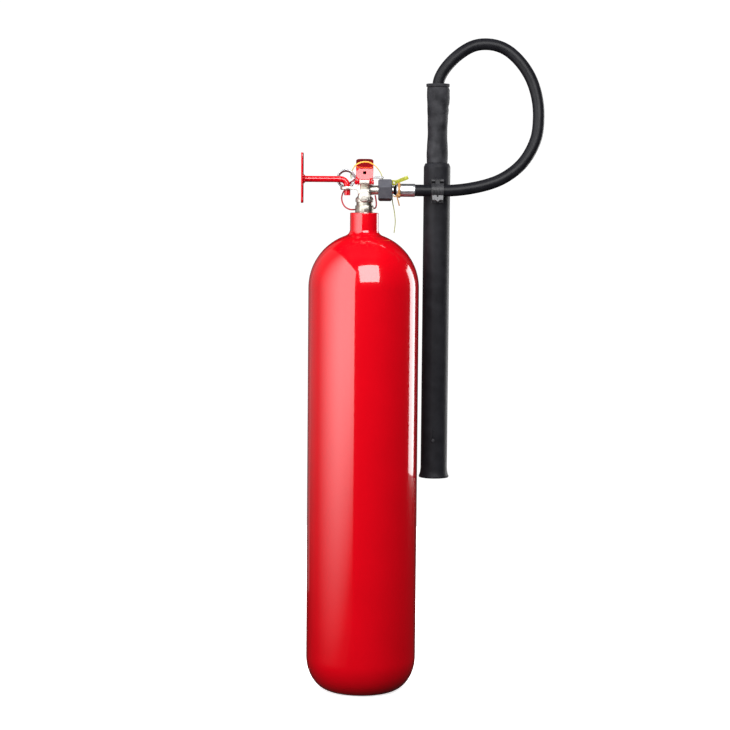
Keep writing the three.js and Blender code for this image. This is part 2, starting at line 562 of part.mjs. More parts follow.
function buildClip() {
  const { x, y, radius } = HORN;
  const { halfWidth, z, bore, outer, arm, screwZ, hingeY, hingeZ, knuckle } = CLIP;
  const left = x - halfWidth;
  const right = x + halfWidth;
  const innerLeft = left + arm + GAP;
  const innerRight = right - arm - GAP;
  const saddle = cut(
    block(left, right, 4.6, y - radius + 4, 14, 47),
    disc(radius + GAP, -57, 143, { x, y, segments: 36 }),
    discX(bore, left - 1, right + 1, 0, z),
    block(innerLeft, innerRight, 3, 7.4, hingeZ - 5, hingeZ + 5),
    block(left - 1, right + 1, 3, 7.4, 12, z - 9.5),
  );
  const arms = [[left, left + arm], [right - arm, right]].map(([a, b]) => join(
    discX(knuckle, a, b, hingeY, hingeZ, { segments: 16 }),
    block(a, b, hingeY, 6, hingeZ - knuckle, hingeZ + knuckle),
  ));
  const hingeBore = discX(CLIP.hingeBore, left - 1, right + 1, hingeY, hingeZ, { segments: 12 });
  const screwHole = discY(1.7, 4, 12, x, screwZ, { segments: 12 });
  add('clip_base', cut(join(saddle, ...arms), hingeBore, screwHole), 'plastic');

  const shell = cut(
    discX(outer, left, right, 0, z, { segments: 24 }),
    discX(bore, left - 1, right + 1, 0, z),
    block(left - 1, right + 1, 0.4, 20, 13, 53),
    block(left - 1, right + 1, -0.5, 20, 13, z),
  );
  const [gateLeft, gateRight] = [innerLeft + GAP, innerRight - GAP];
  const eye = discX(knuckle, gateLeft, gateRight, hingeY, hingeZ, { segments: 16 });
  const stalk = block(gateLeft, gateRight, -1.2, hingeY, z + outer - 1.6, hingeZ + 1.5);
  const tongue = block(left + 1, right - 1, -8, -5.4, 15.5, 25.5);
  const ribs = [-6, -2, 2, 6].map((at) => discX(outer + 0.6, x + at - 0.9, x + at + 0.9, 0, z)
    .intersect(block(left, right, -20, -5, z - 6, z + 8)));
  const gate = join(shell, eye, stalk, tongue, ...ribs);
  add('clip_gate', cut(gate, hingeBore, discX(bore, left - 1, right + 1, 0, z)), 'plastic');
  add('clip_hinge_pin', discX(1, left, right, hingeY, hingeZ, { segments: 12 }), 'steel');
  const screw = join(
    discY(2.8, 5.6, 7.1, x, screwZ, { segments: 12 }),
    discY(1.4, 7, 9.6, x, screwZ, { segments: 12 }),
  );
  add('clip_screw', screw, 'steel');
}

buildCylinder();
buildValveBody();
buildBurstDisc();
buildValveInside();
buildLever();
buildPivot();
buildCarryHandle();
buildSafetyPin();
buildSeal();
buildLanyard();
buildWallHook();
buildOutletFittings();
buildTagTie();
buildHose();
buildHorn();
buildGrip();
buildClip();

export default extinguisher;
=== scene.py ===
"""The finish of a carbon-dioxide fire extinguisher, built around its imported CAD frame.

Shapes are drawn in millimetres in the frame's directions (+X towards the hose, -Y towards the
front, +Z up), with z = 0 at the top face of the cylinder's neck. piece() turns them into metres.
"""
import math
import random

import bmesh
import bpy
import numpy as np
from mathutils import Matrix, Vector, noise


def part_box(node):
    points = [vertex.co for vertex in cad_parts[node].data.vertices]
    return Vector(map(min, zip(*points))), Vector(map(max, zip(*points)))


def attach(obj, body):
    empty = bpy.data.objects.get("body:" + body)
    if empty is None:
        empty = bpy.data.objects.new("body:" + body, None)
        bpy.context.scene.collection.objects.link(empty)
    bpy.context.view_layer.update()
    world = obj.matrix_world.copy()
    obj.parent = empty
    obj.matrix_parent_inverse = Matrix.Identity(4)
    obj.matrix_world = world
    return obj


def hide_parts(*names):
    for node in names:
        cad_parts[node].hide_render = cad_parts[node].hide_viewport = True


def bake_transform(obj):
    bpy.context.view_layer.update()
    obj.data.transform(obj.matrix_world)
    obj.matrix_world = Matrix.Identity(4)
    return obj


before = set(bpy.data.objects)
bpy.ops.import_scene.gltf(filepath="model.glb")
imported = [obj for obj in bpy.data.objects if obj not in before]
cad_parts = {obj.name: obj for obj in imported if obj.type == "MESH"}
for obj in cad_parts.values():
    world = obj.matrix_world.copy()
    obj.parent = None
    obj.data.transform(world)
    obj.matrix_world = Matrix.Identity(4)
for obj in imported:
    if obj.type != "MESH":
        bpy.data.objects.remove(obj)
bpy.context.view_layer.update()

MM = 0.001
TURN = 2 * math.pi
NECK = Vector((0, 0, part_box("cylinder")[1].z))


def in_metres(point):
    """A point in millimetres above the neck's top face, as a place in the frame."""
    return NECK + Vector(point) * MM


def span(node):
    """A CAD node's low and high corners, in millimetres above the neck's top face."""
    return [(corner - NECK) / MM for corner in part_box(node)]


# ---- outlines and lines

def clamped(value):
    return min(1.0, max(0.0, value))


def eased(share):
    """A share from 0 to 1, slowed at both ends."""
    return share * share * (3 - 2 * share)


def arc(x, y, radius_x, radius_y, start, end, steps):
    """Points on an arc, angles in degrees, both ends included."""
    angles = [math.radians(start + (end - start) * i / steps) for i in range(steps + 1)]
    return [(x + radius_x * math.cos(a), y + radius_y * math.sin(a)) for a in angles]


NEARLY_STRAIGHT = math.radians(12)
MOST_OF_A_SIDE = 0.45


def softened(outline, radius, steps=4, closed=False):
    """An outline with its corners rounded; the radius shrinks where a side is too short."""
    points = [Vector(p) for p in outline]
    if closed and points[0] == points[-1]:
        points.pop()
    made = []
    for i, corner in enumerate(points):
        if not closed and i in (0, len(points) - 1):
            made.append(corner)
            continue
        before = points[i - 1] - corner
        after = points[(i + 1) % len(points)] - corner
        turn = math.pi - before.angle(after)
        if turn < NEARLY_STRAIGHT:
            made.append(corner)
            continue
        longest = MOST_OF_A_SIDE * min(before.length, after.length)
        reach = min(radius * math.tan(turn / 2), longest)
        start = corner + before.normalized() * reach
        end = corner + after.normalized() * reach
        for k in range(steps + 1):
            t = k / steps
            made.append(start * (1 - t) ** 2 + corner * 2 * t * (1 - t) + end * t ** 2)
    if closed:
        made.append(made[0])
    return [tuple(p) for p in made]


def rounded_box(u0, u1, v0, v1, corner, steps=4):
    """The closed outline of a rectangle with rounded corners."""
    return softened([(u0, v0), (u1, v0), (u1, v1), (u0, v1)], corner, steps, closed=True)


def spline(points, count):
    """A smooth curve through the points, cut into count equal steps."""
    per_span = 24
    given = [Vector(p) for p in points]
    given = [given[0] * 2 - given[1], *given, given[-1] * 2 - given[-2]]
    dense = []
    for i in range(1, len(given) - 2):
        p = given[i - 1:i + 3]
        knots = [0.0]
        for a, b in zip(p, p[1:]):
            knots.append(knots[-1] + math.sqrt((b - a).length))
        for k in range(per_span):
            t = knots[1] + (knots[2] - knots[1]) * k / per_span
            line = list(p)
            for level in (1, 2, 3):
                line = [
                    (line[j] * (knots[j + level] - t) + line[j + 1] * (t - knots[j]))
                    / (knots[j + level] - knots[j])
                    for j in range(4 - level)
                ]
            dense.append(line[0])
    dense.append(given[-2])
    run = [0.0]
    for a, b in zip(dense, dense[1:]):
        run.append(run[-1] + (b - a).length)
    made = []
    k = 0
    for i in range(count + 1):
        at = run[-1] * i / count
        while k < len(run) - 2 and run[k + 1] < at:
            k += 1
        made.append(dense[k].lerp(dense[k + 1], (at - run[k]) / (run[k + 1] - run[k])))
    return made


def length_of(line):
    return sum((b - a).length for a, b in zip(line, line[1:]))


def tangents_of(line):
    """The direction of a line at each of its points."""
    last = len(line) - 1
    return [(line[min(i + 1, last)] - line[max(i - 1, 0)]).normalized() for i in range(last + 1)]


def sides_of(tangents):
    """Two directions across each tangent, carried along the line without a twist."""
    side = tangents[0].orthogonal().normalized()
    made = []
    for tangent in tangents:
        side = (side - tangent * side.dot(tangent)).normalized()
        made.append((side, tangent.cross(side)))
    return made


# ---- meshes

def shape(verts, faces):
    """A closed mesh from raw points and faces, with its faces turned out."""
    mesh = bpy.data.meshes.new("shape")
    mesh.from_pydata([tuple(v) for v in verts], [], faces)
    work = bmesh.new()
    work.from_mesh(mesh)
    bmesh.ops.recalc_face_normals(work, faces=work.faces)
    work.to_mesh(mesh)
    work.free()
    made = bpy.data.objects.new("shape", mesh)
    bpy.context.scene.collection.objects.link(made)
    return made


def placed(axis, u, v, along):
    """A point of a section (u, v) at a distance along an axis."""
    return {"X": (along, u, v), "Y": (u, along, v), "Z": (u, v, along)}[axis]


def lathe(profile, segments=64, axis="Z", at=(0, 0, 0), ripple=None):
    """Turns a (radius, along) profile about an axis through at.

    The profile starts and ends on the axis, or closes on itself. ripple(angle, along) is added
    to the radius.
    """
    loop = profile[0] == profile[-1]
    points = profile[:-1] if loop else profile
    verts, rows = [], []
    for radius, along in points:
        if radius < 1e-6:
            rows.append([len(verts)] * segments)
            verts.append(Vector(placed(axis, 0, 0, along)) + Vector(at))
            continue
        rows.append(range(len(verts), len(verts) + segments))
        for i in range(segments):
            angle = TURN * i / segments
            r = radius + (ripple(angle, along) if ripple else 0)
            place = placed(axis, r * math.cos(angle), r * math.sin(angle), along)
            verts.append(Vector(place) + Vector(at))
    faces = []
    pairs = list(zip(rows, rows[1:])) + ([(rows[-1], rows[0])] if loop else [])
    for low, high in pairs:
        for i in range(segments):
            j = (i + 1) % segments
            corners = [low[i], low[j], high[j], high[i]]
            face = [c for k, c in enumerate(corners) if c != corners[k - 1]]
            if len(face) > 2:
                faces.append(face)
    return shape(verts, faces)


def rod(radius, start, end, axis="Z", at=(0, 0, 0), segments=32):
    return lathe([(0, start), (radius, start), (radius, end), (0, end)], segments, axis, at)


def soft_lathe(profile, corner, segments=32, axis="Z", at=(0, 0, 0), ripple=None):
    """A lathe whose profile has its corners rounded."""
    outline = softened(profile, corner, closed=profile[0] == profile[-1])
    return lathe(outline, segments, axis, at, ripple)


def soft_rod(radius, start, end, corner, segments=32, axis="Z", at=(0, 0, 0)):
    """A rod whose two rims are rounded."""
    profile = [(0, start), (radius, start), (radius, end), (0, end)]
    return soft_lathe(profile, corner, segments, axis, at)


def prism(outline, start, end, axis="Z"):
    """An outline extruded along an axis."""
    points = list(outline)
    if points[0] == points[-1]:
        points.pop()
    n = len(points)
    verts = [placed(axis, u, v, a) for a in (start, end) for u, v in points]
    sides = [(i, (i + 1) % n, n + (i + 1) % n, n + i) for i in range(n)]
    return shape(verts, [tuple(range(n)), tuple(range(n, 2 * n)), *sides])


def block(x0, x1, y0, y1, z0, z1):
    return prism([(x0, y0), (x1, y0), (x1, y1), (x0, y1)], z0, z1)


def hexagon(across_flats, turn=0):
    radius = across_flats / math.sqrt(3)
    angles = [math.radians(turn + 60 * i) for i in range(6)]
    return [(radius * math.cos(a), radius * math.sin(a)) for a in angles]


def moved(obj, offset):
    obj.data.transform(Matrix.Translation(offset))
    return obj


def turned(obj, degrees, axis, pivot=(0, 0, 0)):
    there = Matrix.Translation(pivot)
    obj.data.transform(there @ Matrix.Rotation(math.radians(degrees), 4, axis) @ there.inverted())
    return obj


def sweep(line, radius, sides=24, rounded=True):
    """A tube along close points. radius is a number, or a function of (share, angle)."""
    thickness = radius if callable(radius) else lambda share, angle: radius
    centres = [Vector(p) for p in line]
    steps = len(centres) - 1
    shares = [i / steps for i in range(steps + 1)]
    scale = [1.0] * (steps + 1)
    tangents = tangents_of(centres)
    if rounded:
        lead = [math.radians(a) for a in (75, 50, 25)]
        r0, r1 = thickness(0, 0), thickness(1, 0)
        first = [centres[0] - tangents[0] * r0 * math.sin(a) for a in lead]
        last = [centres[-1] + tangents[-1] * r1 * math.sin(a) for a in reversed(lead)]
        caps = [math.cos(a) for a in lead]
        centres = [*first, *centres, *last]
        tangents = [*[tangents[0]] * 3, *tangents, *[tangents[-1]] * 3]
        shares = [*[0.0] * 3, *shares, *[1.0] * 3]
        scale = [*caps, *scale, *reversed(caps)]
    verts = []
    for centre, (side, up), share, size in zip(centres, sides_of(tangents), shares, scale):
        for i in range(sides):
            angle = TURN * i / sides
            reach = thickness(share, angle) * size
            verts.append(centre + (side * math.cos(angle) + up * math.sin(angle)) * reach)
    rings = len(centres)
    faces = [tuple(range(sides)), tuple(range((rings - 1) * sides, rings * sides))]
    for k in range(rings - 1):
        for i in range(sides):
            j = (i + 1) % sides
            faces.append((k * sides + i, k * sides + j, (k + 1) * sides + j, (k + 1) * sides + i))
    return shape(verts, faces)


def modified(obj, kind, **settings):
    """The object with one modifier made part of its mesh."""
    change = obj.modifiers.new("change", kind)
    for name, value in settings.items():
        setattr(change, name, value)
    bpy.context.view_layer.update()
    graph = bpy.context.evaluated_depsgraph_get()
    mesh = bpy.data.meshes.new_from_object(obj.evaluated_get(graph))
    before = obj.data
    obj.modifiers.clear()
    obj.data = mesh
    bpy.data.meshes.remove(before)
    return obj


def combined(obj, tools, operation):
    for tool in tools:
        modified(obj, "BOOLEAN", operation=operation, solver="MANIFOLD", object=tool)
        bpy.data.objects.remove(tool)
    return obj


def fused(first, *others):
    return combined(first, others, "UNION")


def cut(obj, *tools):
    return combined(obj, tools, "DIFFERENCE")


def kept_inside(obj, *tools):
    return combined(obj, tools, "INTERSECT")


def bevelled(obj, width, segments=2, angle=32):
    return modified(obj, "BEVEL", width=width, segments=segments, limit_method="ANGLE",
                    angle_limit=math.radians(angle), use_clamp_overlap=True)


def rounded_edges(obj, radius, chosen):
    """Rounds only the edges whose both ends are chosen, given in the mesh's own millimetres."""
    work = bmesh.new()
    work.from_mesh(obj.data)
    edges = [e for e in work.edges if all(chosen(v.co) for v in e.verts)]
    bmesh.ops.bevel(work, geom=edges, offset=radius, segments=4, profile=0.5,
                    affect="EDGES", clamp_overlap=True)
    work.to_mesh(obj.data)
    work.free()
    return obj


def melted(obj, voxel, passes):
    """A forging: the joined shapes remeshed as one skin, with their corners run together."""
    modified(obj, "REMESH", mode="VOXEL", voxel_size=voxel)
    return modified(obj, "SMOOTH", factor=0.5, iterations=passes)


def gathered(first, *others):
    """Separate solids that count as one piece, put in one mesh."""
    work = bmesh.new()
    for obj in (first, *others):
        work.from_mesh(obj.data)
    work.to_mesh(first.data)
    work.free()
    for obj in others:
        bpy.data.objects.remove(obj)
    return first


def piece(obj, name, material, body, nodes=None, crease=35):
    """Finishes a shape: metres, shading, material, and the body it moves with."""
    obj.name = name
    obj.data.name = name
    obj.data.transform(Matrix.Translation(NECK) @ Matrix.Scale(MM, 4))
    for face in obj.data.polygons:
        face.use_smooth = True
    obj.data.set_sharp_from_angle(angle=math.radians(crease))
    obj.data.materials.clear()
    obj.data.materials.append(material)
    if body:
        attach(obj, body)
    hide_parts(*(nodes or [name]))
    return obj


# ---- materials

def fill(node, **values):
    """Sets a node's own inputs; an underscore in a name stands for a space."""
    for name, value in values.items():
        node.inputs[name.replace("_", " ")].default_value = value
    return node


def shader_of(material):
    return material.node_tree.nodes["Principled BSDF"]


def new_material(name, colour, roughness, metallic=0.0, **sockets):
    """A Principled material; sockets are more of the shader's own values."""
    made = bpy.data.materials.new(name)
    made.use_nodes = True
    fill(shader_of(made), Base_Color=(*colour, 1), Roughness=roughness, Metallic=metallic,
         **sockets)
    return made


def add_node(material, kind, **values):
    return fill(material.node_tree.nodes.new(kind), **values)


def link(material, source, target):
    material.node_tree.links.new(source, target)


def pattern(material, stretch=(1, 1, 1), **values):
    """A noise texture in the piece's own space; stretch squeezes it along an axis."""
    place = add_node(material, "ShaderNodeTexCoord")
    mapping = add_node(material, "ShaderNodeMapping", Scale=stretch)
    texture = add_node(material, "ShaderNodeTexNoise", **values)
    link(material, place.outputs["Object"], mapping.inputs["Vector"])
    link(material, mapping.outputs["Vector"], texture.inputs["Vector"])
    return texture


def vary_colour(material, texture, stops, output="Fac"):
    """Drives the base colour from a texture through (position, colour) stops."""
    ramp = add_node(material, "ShaderNodeValToRGB")
    elements = ramp.color_ramp.elements
    while len(elements) < len(stops):
        elements.new(0.5)
    for element, (position, colour) in zip(elements, stops):
        element.position = position
        element.color = (*colour, 1)
    link(material, texture.outputs[output], ramp.inputs["Fac"])
    link(material, ramp.outputs["Color"], shader_of(material).inputs["Base Color"])


def vary_roughness(material, texture, low, high):
    scale = add_node(material, "ShaderNodeMapRange", To_Min=low, To_Max=high)
    link(material, texture.outputs["Fac"], scale.inputs["Value"])
    link(material, scale.outputs["Result"], shader_of(material).inputs["Roughness"])


def add_bump(material, texture, strength, distance):
    """Adds a bump on top of any that the material has."""
    shader = shader_of(material)
    bump = add_node(material, "ShaderNodeBump", Strength=strength, Distance=distance)
    before = shader.inputs["Normal"].links
    if before:
        link(material, before[0].from_socket, bump.inputs["Normal"])
    link(material, texture.outputs["Fac"], bump.inputs["Height"])
    link(material, bump.outputs["Normal"], shader.inputs["Normal"])


def enamel(name, colour, deep, roughness, coat_ior):
    """Sprayed gloss paint: faint orange peel under a clear skin, slight waviness of the metal."""
    made = new_material(name, colour, roughness, Coat_Weight=1.0, Coat_Roughness=0.02,
                        Coat_IOR=coat_ior, Specular_IOR_Level=0.15)
    tone = pattern(made, Scale=18.0, Detail=3.0)
    vary_colour(made, tone, [(0.3, deep), (0.7, colour)])
    add_bump(made, pattern(made, Scale=55.0, Detail=1.0), 0.12, 0.0006)
    add_bump(made, pattern(made, Scale=620.0, Detail=2.0), 0.10, 0.00012)
    return made


def cast_metal(name, colour, dull, low, high, grain, metallic=1.0):
    """Plated forging: cloudy sheen and a fine pitted skin."""
    made = new_material(name, colour, low, metallic)
    cloud = pattern(made, Scale=160.0, Detail=4.0)
    vary_colour(made, cloud, [(0.3, dull), (0.65, colour)])
    vary_roughness(made, pattern(made, Scale=420.0, Detail=3.0), low, high)
    add_bump(made, pattern(made, Scale=grain, Detail=2.0), 0.25, 0.00008)
    return made


def turned_metal(name, colour, low, high, along):
    """Machined metal, with fine rings round the axis that it was turned about."""
    made = new_material(name, colour, low, 1.0)
    rings = tuple(1.0 if k == along else 0.02 for k in range(3))
    marks = pattern(made, stretch=rings, Scale=2600.0, Detail=2.0)
    vary_roughness(made, marks, low, high)
    add_bump(made, marks, 0.18, 0.00004)
    smudge = pattern(made, Scale=120.0, Detail=3.0)
    worn = tuple(c * 0.78 for c in colour)
    vary_colour(made, smudge, [(0.25, worn), (0.6, colour)])
    return made


def rubber(name, colour, light, low, high, grain, depth, specular):
    """Rubber or moulded plastic: fine grain, uneven sheen, a little dust in the tone."""
    made = new_material(name, colour, low, Specular_IOR_Level=specular)
    vary_colour(made, pattern(made, Scale=70.0, Detail=5.0), [(0.35, colour), (0.75, light)])
    vary_roughness(made, pattern(made, Scale=140.0, Detail=3.0), low, high)
    add_bump(made, pattern(made, Scale=grain, Detail=3.0), 0.5, depth)
    return made


def plastic(name, colour, shade, roughness, transmission=0.0):
    made = new_material(name, colour, roughness, Transmission_Weight=transmission)
    vary_colour(made, pattern(made, Scale=240.0, Detail=3.0), [(0.3, shade), (0.7, colour)])
    add_bump(made, pattern(made, Scale=1500.0, Detail=2.0), 0.3, 0.00006)
    return made


def strap_with_painted_red_glow(name, low_colour, painted_glow_colour, low, high):
    """A thin yellow strap that turns orange between two heights in metres, where it lies on the
    red lever: a painted red glow from the paint under it.
    """
    made = new_material(name, low_colour, 0.34, Transmission_Weight=0.1)
    add_bump(made, pattern(made, Scale=1500.0, Detail=2.0), 0.3, 0.00006)
    place = add_node(made, "ShaderNodeTexCoord")
    split = add_node(made, "ShaderNodeSeparateXYZ")
    link(made, place.outputs["Object"], split.inputs["Vector"])
    vary_colour(made, split, [(low, low_colour), (high, painted_glow_colour)], "Z")
    return made


CYLINDER_RED = enamel("cylinder_red", (0.50, 0.0006, 0.0055), (0.47, 0.0006, 0.005), 0.16,
                      1.58)
FITTING_RED = enamel("fitting_red", (0.50, 0.001, 0.007), (0.42, 0.001, 0.006), 0.2, 1.46)
NICKEL = cast_metal("satin_nickel", (0.68, 0.65, 0.59), (0.54, 0.51, 0.46), 0.36, 0.48, 900.0)
# Darker nickel for the neck below the flange: painted shade under the flange.
SHADED_NICKEL = cast_metal("painted_shade_nickel", (0.50, 0.47, 0.41), (0.30, 0.28, 0.24), 0.3, 0.44, 900.0)
BRIGHT_NICKEL = turned_metal("bright_nickel", (0.78, 0.77, 0.74), 0.28, 0.4, 0)
BRASS = cast_metal("brass", (0.80, 0.62, 0.30), (0.66, 0.50, 0.24), 0.28, 0.42, 700.0)
DARK_BRASS = cast_metal("dark_brass", (0.10, 0.075, 0.04), (0.06, 0.045, 0.03), 0.4, 0.5, 700.0)
STEEL = turned_metal("bright_steel", (0.78, 0.80, 0.83), 0.36, 0.5, 0)
ZINC = cast_metal("zinc_steel", (0.62, 0.63, 0.65), (0.5, 0.51, 0.53), 0.3, 0.42, 900.0)
WIRE = cast_metal("wire_steel", (0.55, 0.55, 0.57), (0.42, 0.42, 0.44), 0.25, 0.38, 1200.0)
DARK_NUT = cast_metal("dark_nut", (0.095, 0.095, 0.11), (0.07, 0.07, 0.085), 0.38, 0.5, 800.0, 0.4)
BLACK_STEEL = cast_metal("black_steel", (0.05, 0.05, 0.055), (0.03, 0.03, 0.035), 0.4, 0.5, 900.0,
                         0.6)
HOSE_RUBBER = rubber("hose_rubber", (0.005, 0.005, 0.0065), (0.009, 0.009, 0.011), 0.32, 0.44,
                     900.0, 0.0001, 0.15)
GRIP_RUBBER = rubber("grip_rubber", (0.010, 0.010, 0.012), (0.036, 0.036, 0.040), 0.5, 0.68,
                     650.0, 0.0002, 0.12)
HORN_PLASTIC = rubber("horn_plastic", (0.010, 0.010, 0.012), (0.016, 0.016, 0.019), 0.36, 0.48,
                      1100.0, 0.00012, 0.1)
CLIP_PLASTIC = rubber("clip_plastic", (0.016, 0.016, 0.018), (0.03, 0.03, 0.033), 0.34, 0.46,
                      1200.0, 0.0001, 0.3)
LIGHT_GREY_PLASTIC = rubber("light_grey_plastic", (0.08, 0.08, 0.084), (0.16, 0.16, 0.165), 0.4, 0.5,
                      1200.0, 0.0001, 0.3)
SEAL_RUBBER = rubber("seal_rubber", (0.015, 0.015, 0.015), (0.025, 0.025, 0.025), 0.5, 0.65,
                     1400.0, 0.0001, 0.3)
SEAL_PLASTIC = plastic("seal_plastic", (0.36, 0.37, 0.012), (0.29, 0.30, 0.010), 0.34, 0.1)
TAIL_PLASTIC = plastic("tail_plastic", (0.25, 0.265, 0.002), (0.20, 0.21, 0.002), 0.4)
# Yellow seal strap; its orange above the lever's top is a painted red glow from the lever under
# it.
STRAND_PLASTIC = strap_with_painted_red_glow("strand_plastic", (0.42, 0.42, 0.13), (0.85, 0.42, 0.05),
                                NECK.z + 0.0585, NECK.z + 0.0645)
NYLON = plastic("nylon", (0.82, 0.81, 0.76), (0.74, 0.73, 0.68), 0.42)
TIE_STRAP = plastic("tie_strap", (0.34, 0.16, 0.035), (0.25, 0.11, 0.022), 0.5)
LANYARD_CORD = plastic("lanyard_cord", (0.42, 0.006, 0.016), (0.27, 0.004, 0.010), 0.34)


# ---- camera, light and floor

CAMERA_AT, CAMERA_LENS = (0.00275, -2.8454, 0.698), 102.12
LOOK_DOWN, ROLL = 4.911, 0.489
BACKDROP, AMBIENT, MIRRORED = 1.05, 0.1, 0.015


def set_camera():
    """A long lens in front of the object, a little above its neck, looking slightly down."""
    camera = bpy.data.objects.new("camera", bpy.data.cameras.new("camera"))
    bpy.context.scene.collection.objects.link(camera)
    camera.data.lens = CAMERA_LENS
    camera.data.sensor_width = 36
    pitch = Matrix.Rotation(math.radians(90 - LOOK_DOWN), 4, "X")
    roll = Matrix.Rotation(math.radians(ROLL), 4, "Z")
    camera.matrix_world = Matrix.Translation(CAMERA_AT) @ pitch @ roll
    bpy.context.scene.camera = camera


def add_softbox(name, azimuth, elevation, distance, size, radiance, aim):
    """An area light seen from aim at an azimuth, 0 in front and positive to the right."""
    data = bpy.data.lights.new(name, "AREA")
    data.shape = "RECTANGLE"
    data.size, data.size_y = size
    data.energy = radiance * math.pi * size[0] * size[1]
    lamp = bpy.data.objects.new(name, data)
    bpy.context.scene.collection.objects.link(lamp)
    side, up = math.radians(azimuth), math.radians(elevation)
    away = Vector((math.sin(side) * math.cos(up), -math.cos(side) * math.cos(up), math.sin(up)))
    lamp.location = Vector(aim) + away * distance
    lamp.rotation_euler = away.to_track_quat("Z", "Y").to_euler()
    lamp.visible_camera = False
    return data


def fade(light, across, upward):
    """Dims a softbox towards one end; each is (start, end, least), in shares of its size."""
    light.use_nodes = True
    tree = light.node_tree
    place = tree.nodes.new("ShaderNodeNewGeometry")
    split = tree.nodes.new("ShaderNodeSeparateXYZ")
    both = tree.nodes.new("ShaderNodeMath")
    both.operation = "MULTIPLY"
    tree.links.new(place.outputs["Parametric"], split.inputs["Vector"])
    for k, (start, end, least) in enumerate((across, upward)):
        ramp = tree.nodes.new("ShaderNodeMapRange")
        ramp.interpolation_type = "SMOOTHSTEP"
        fill(ramp, From_Min=start, From_Max=end, To_Min=least)
        tree.links.new(split.outputs[k], ramp.inputs["Value"])
        tree.links.new(ramp.outputs["Result"], both.inputs[k])
    tree.links.new(both.outputs["Value"], tree.nodes["Emission"].inputs["Strength"])


def set_world():
    """White behind the object; dark where it only lights or is mirrored, as in a studio."""
    world = bpy.data.worlds.new("studio")
    bpy.context.scene.world = world
    world.use_nodes = True
    tree = world.node_tree
    backdrop = tree.nodes["Background"]
    ambient = tree.nodes.new("ShaderNodeBackground")
    mirrored = tree.nodes.new("ShaderNodeBackground")
    for node, strength in ((backdrop, BACKDROP), (ambient, AMBIENT), (mirrored, MIRRORED)):
        fill(node, Color=(1, 1, 1, 1), Strength=strength)
    rays = tree.nodes.new("ShaderNodeLightPath")
    glossy = tree.nodes.new("ShaderNodeMixShader")
    seen = tree.nodes.new("ShaderNodeMixShader")
    tree.links.new(rays.outputs["Is Glossy Ray"], glossy.inputs["Fac"])
    tree.links.new(ambient.outputs[0], glossy.inputs[1])
    tree.links.new(mirrored.outputs[0], glossy.inputs[2])
    tree.links.new(rays.outputs["Is Camera Ray"], seen.inputs["Fac"])
    tree.links.new(glossy.outputs[0], seen.inputs[1])
    tree.links.new(backdrop.outputs[0], seen.inputs[2])
    tree.links.new(seen.outputs[0], tree.nodes["World Output"].inputs["Surface"])


def set_lights():
    """A long white panel down the left side, a window above the camera, and a strip behind."""
    panel = add_softbox("panel", -80, 0, 1.2, (4.56, 2.7), 3.9, (0, 0, 0.95))
    fade(panel, (0.37, 0.68, 0.06), (0.03, 0.31, 0.01))
    add_softbox("far_left", -149, 0, 2.0, (0.7, 2.4), 0.14, (0, 0, 0.95))
    add_softbox("window", 13, 32, 2.2, (1.6, 1.4), 9.0, (0, 0, 0.56))
    add_softbox("rim", 128, 0, 1.5, (0.9, 1.03), 5.0, (0, 0, 0.615))
    ceiling = add_softbox("ceiling", 0, 90, 1.5, (1.6, 1.6), 4.5, (0, 0, 0.7))
    bpy.data.objects[ceiling.name].visible_glossy = False


def add_floor():
    """A round table of white acrylic, lit from below so that it runs into the backdrop."""
    radius = 1.4
    rim = [(x, y, 0) for x, y in arc(0, 0, radius, radius, 0, 357, 119)]
    floor = shape(rim, [tuple(range(len(rim)))])
    floor.name = "floor"
    acrylic = new_material("floor_acrylic", (0.9, 0.9, 0.9), 0.9, Specular_IOR_Level=0.0,
                           Emission_Color=(1, 1, 1, 1), Emission_Strength=0.7)
    cloud = pattern(acrylic, Scale=3.0)
    vary_colour(acrylic, cloud, [(0.3, (0.89, 0.89, 0.89)), (0.7, (0.91, 0.91, 0.91))])
    floor.data.materials.append(acrylic)
    floor.visible_glossy = False
    floor.visible_diffuse = False


# ---- cords

HOSE_RADIUS = 8.1
HOSE_ROUTE = [
    (46, 0, 31), (60, 0, 31), (78, 0, 31), (96, 0, 31), (114, 0, 31),
    (131.7, 0.3, 32.4), (148.2, 1.1, 35), (164.7, 2.3, 38.8), (181.2, 3.9, 44.4),
    (197.7, 5.8, 53.4), (214.3, 8, 67.2), (226.7, 10.3, 84.5), (235.7, 12.8, 106.6),
    (238.1, 15.2, 128.7), (237.8, 18, 145.9), (235.3, 20, 161.8), (228.4, 22.2, 183.1),
    (215.4, 24.1, 204.4), (197.3, 25.7, 222), (181.6, 26.9, 229.6), (165, 27.7, 232),
    (148.7, 28, 229.6), (132.7, 28, 220.9), (118, 28, 208.3), (106.6, 28, 193.8),
    (101, 28, 181), (100, 28, 169), (100, 28, 155), (100, 28, 141),
]
STRAND_RADIUS = 0.7
STRAND_ROUTE = [
    (-18.4, 12, 47), (-19, 15.2, 50.4), (-17.8, 16.6, 56), (-13.4, 16.6, 63.8),
    (-6.4, 16.6, 68.2), (1, 16.6, 69.4), (7.8, 16.6, 68.3), (14.8, 16.6, 63.8),
    (20.6, 15.6, 57), (23.6, 14.2, 51), (24.8, 13.8, 45.8), (26.8, 15.8, 43),
    (31, 18.2, 41.6), (36.8, 18.6, 41.4),
]
FLAG_AT = (41.5, 18.6, 41.5)
TAIL_RADIUS = 0.6
TAIL_ROUTE = [
    (39.5, 18.6, 37.4), (38.6, 18.2, 27), (38.4, 17.4, 18), (41, 16, 4), (42.8, 14, -12.5),
    (41.2, 12, -27.5),
]
PIN_Y, PIN_Z = 10.5, 48.3
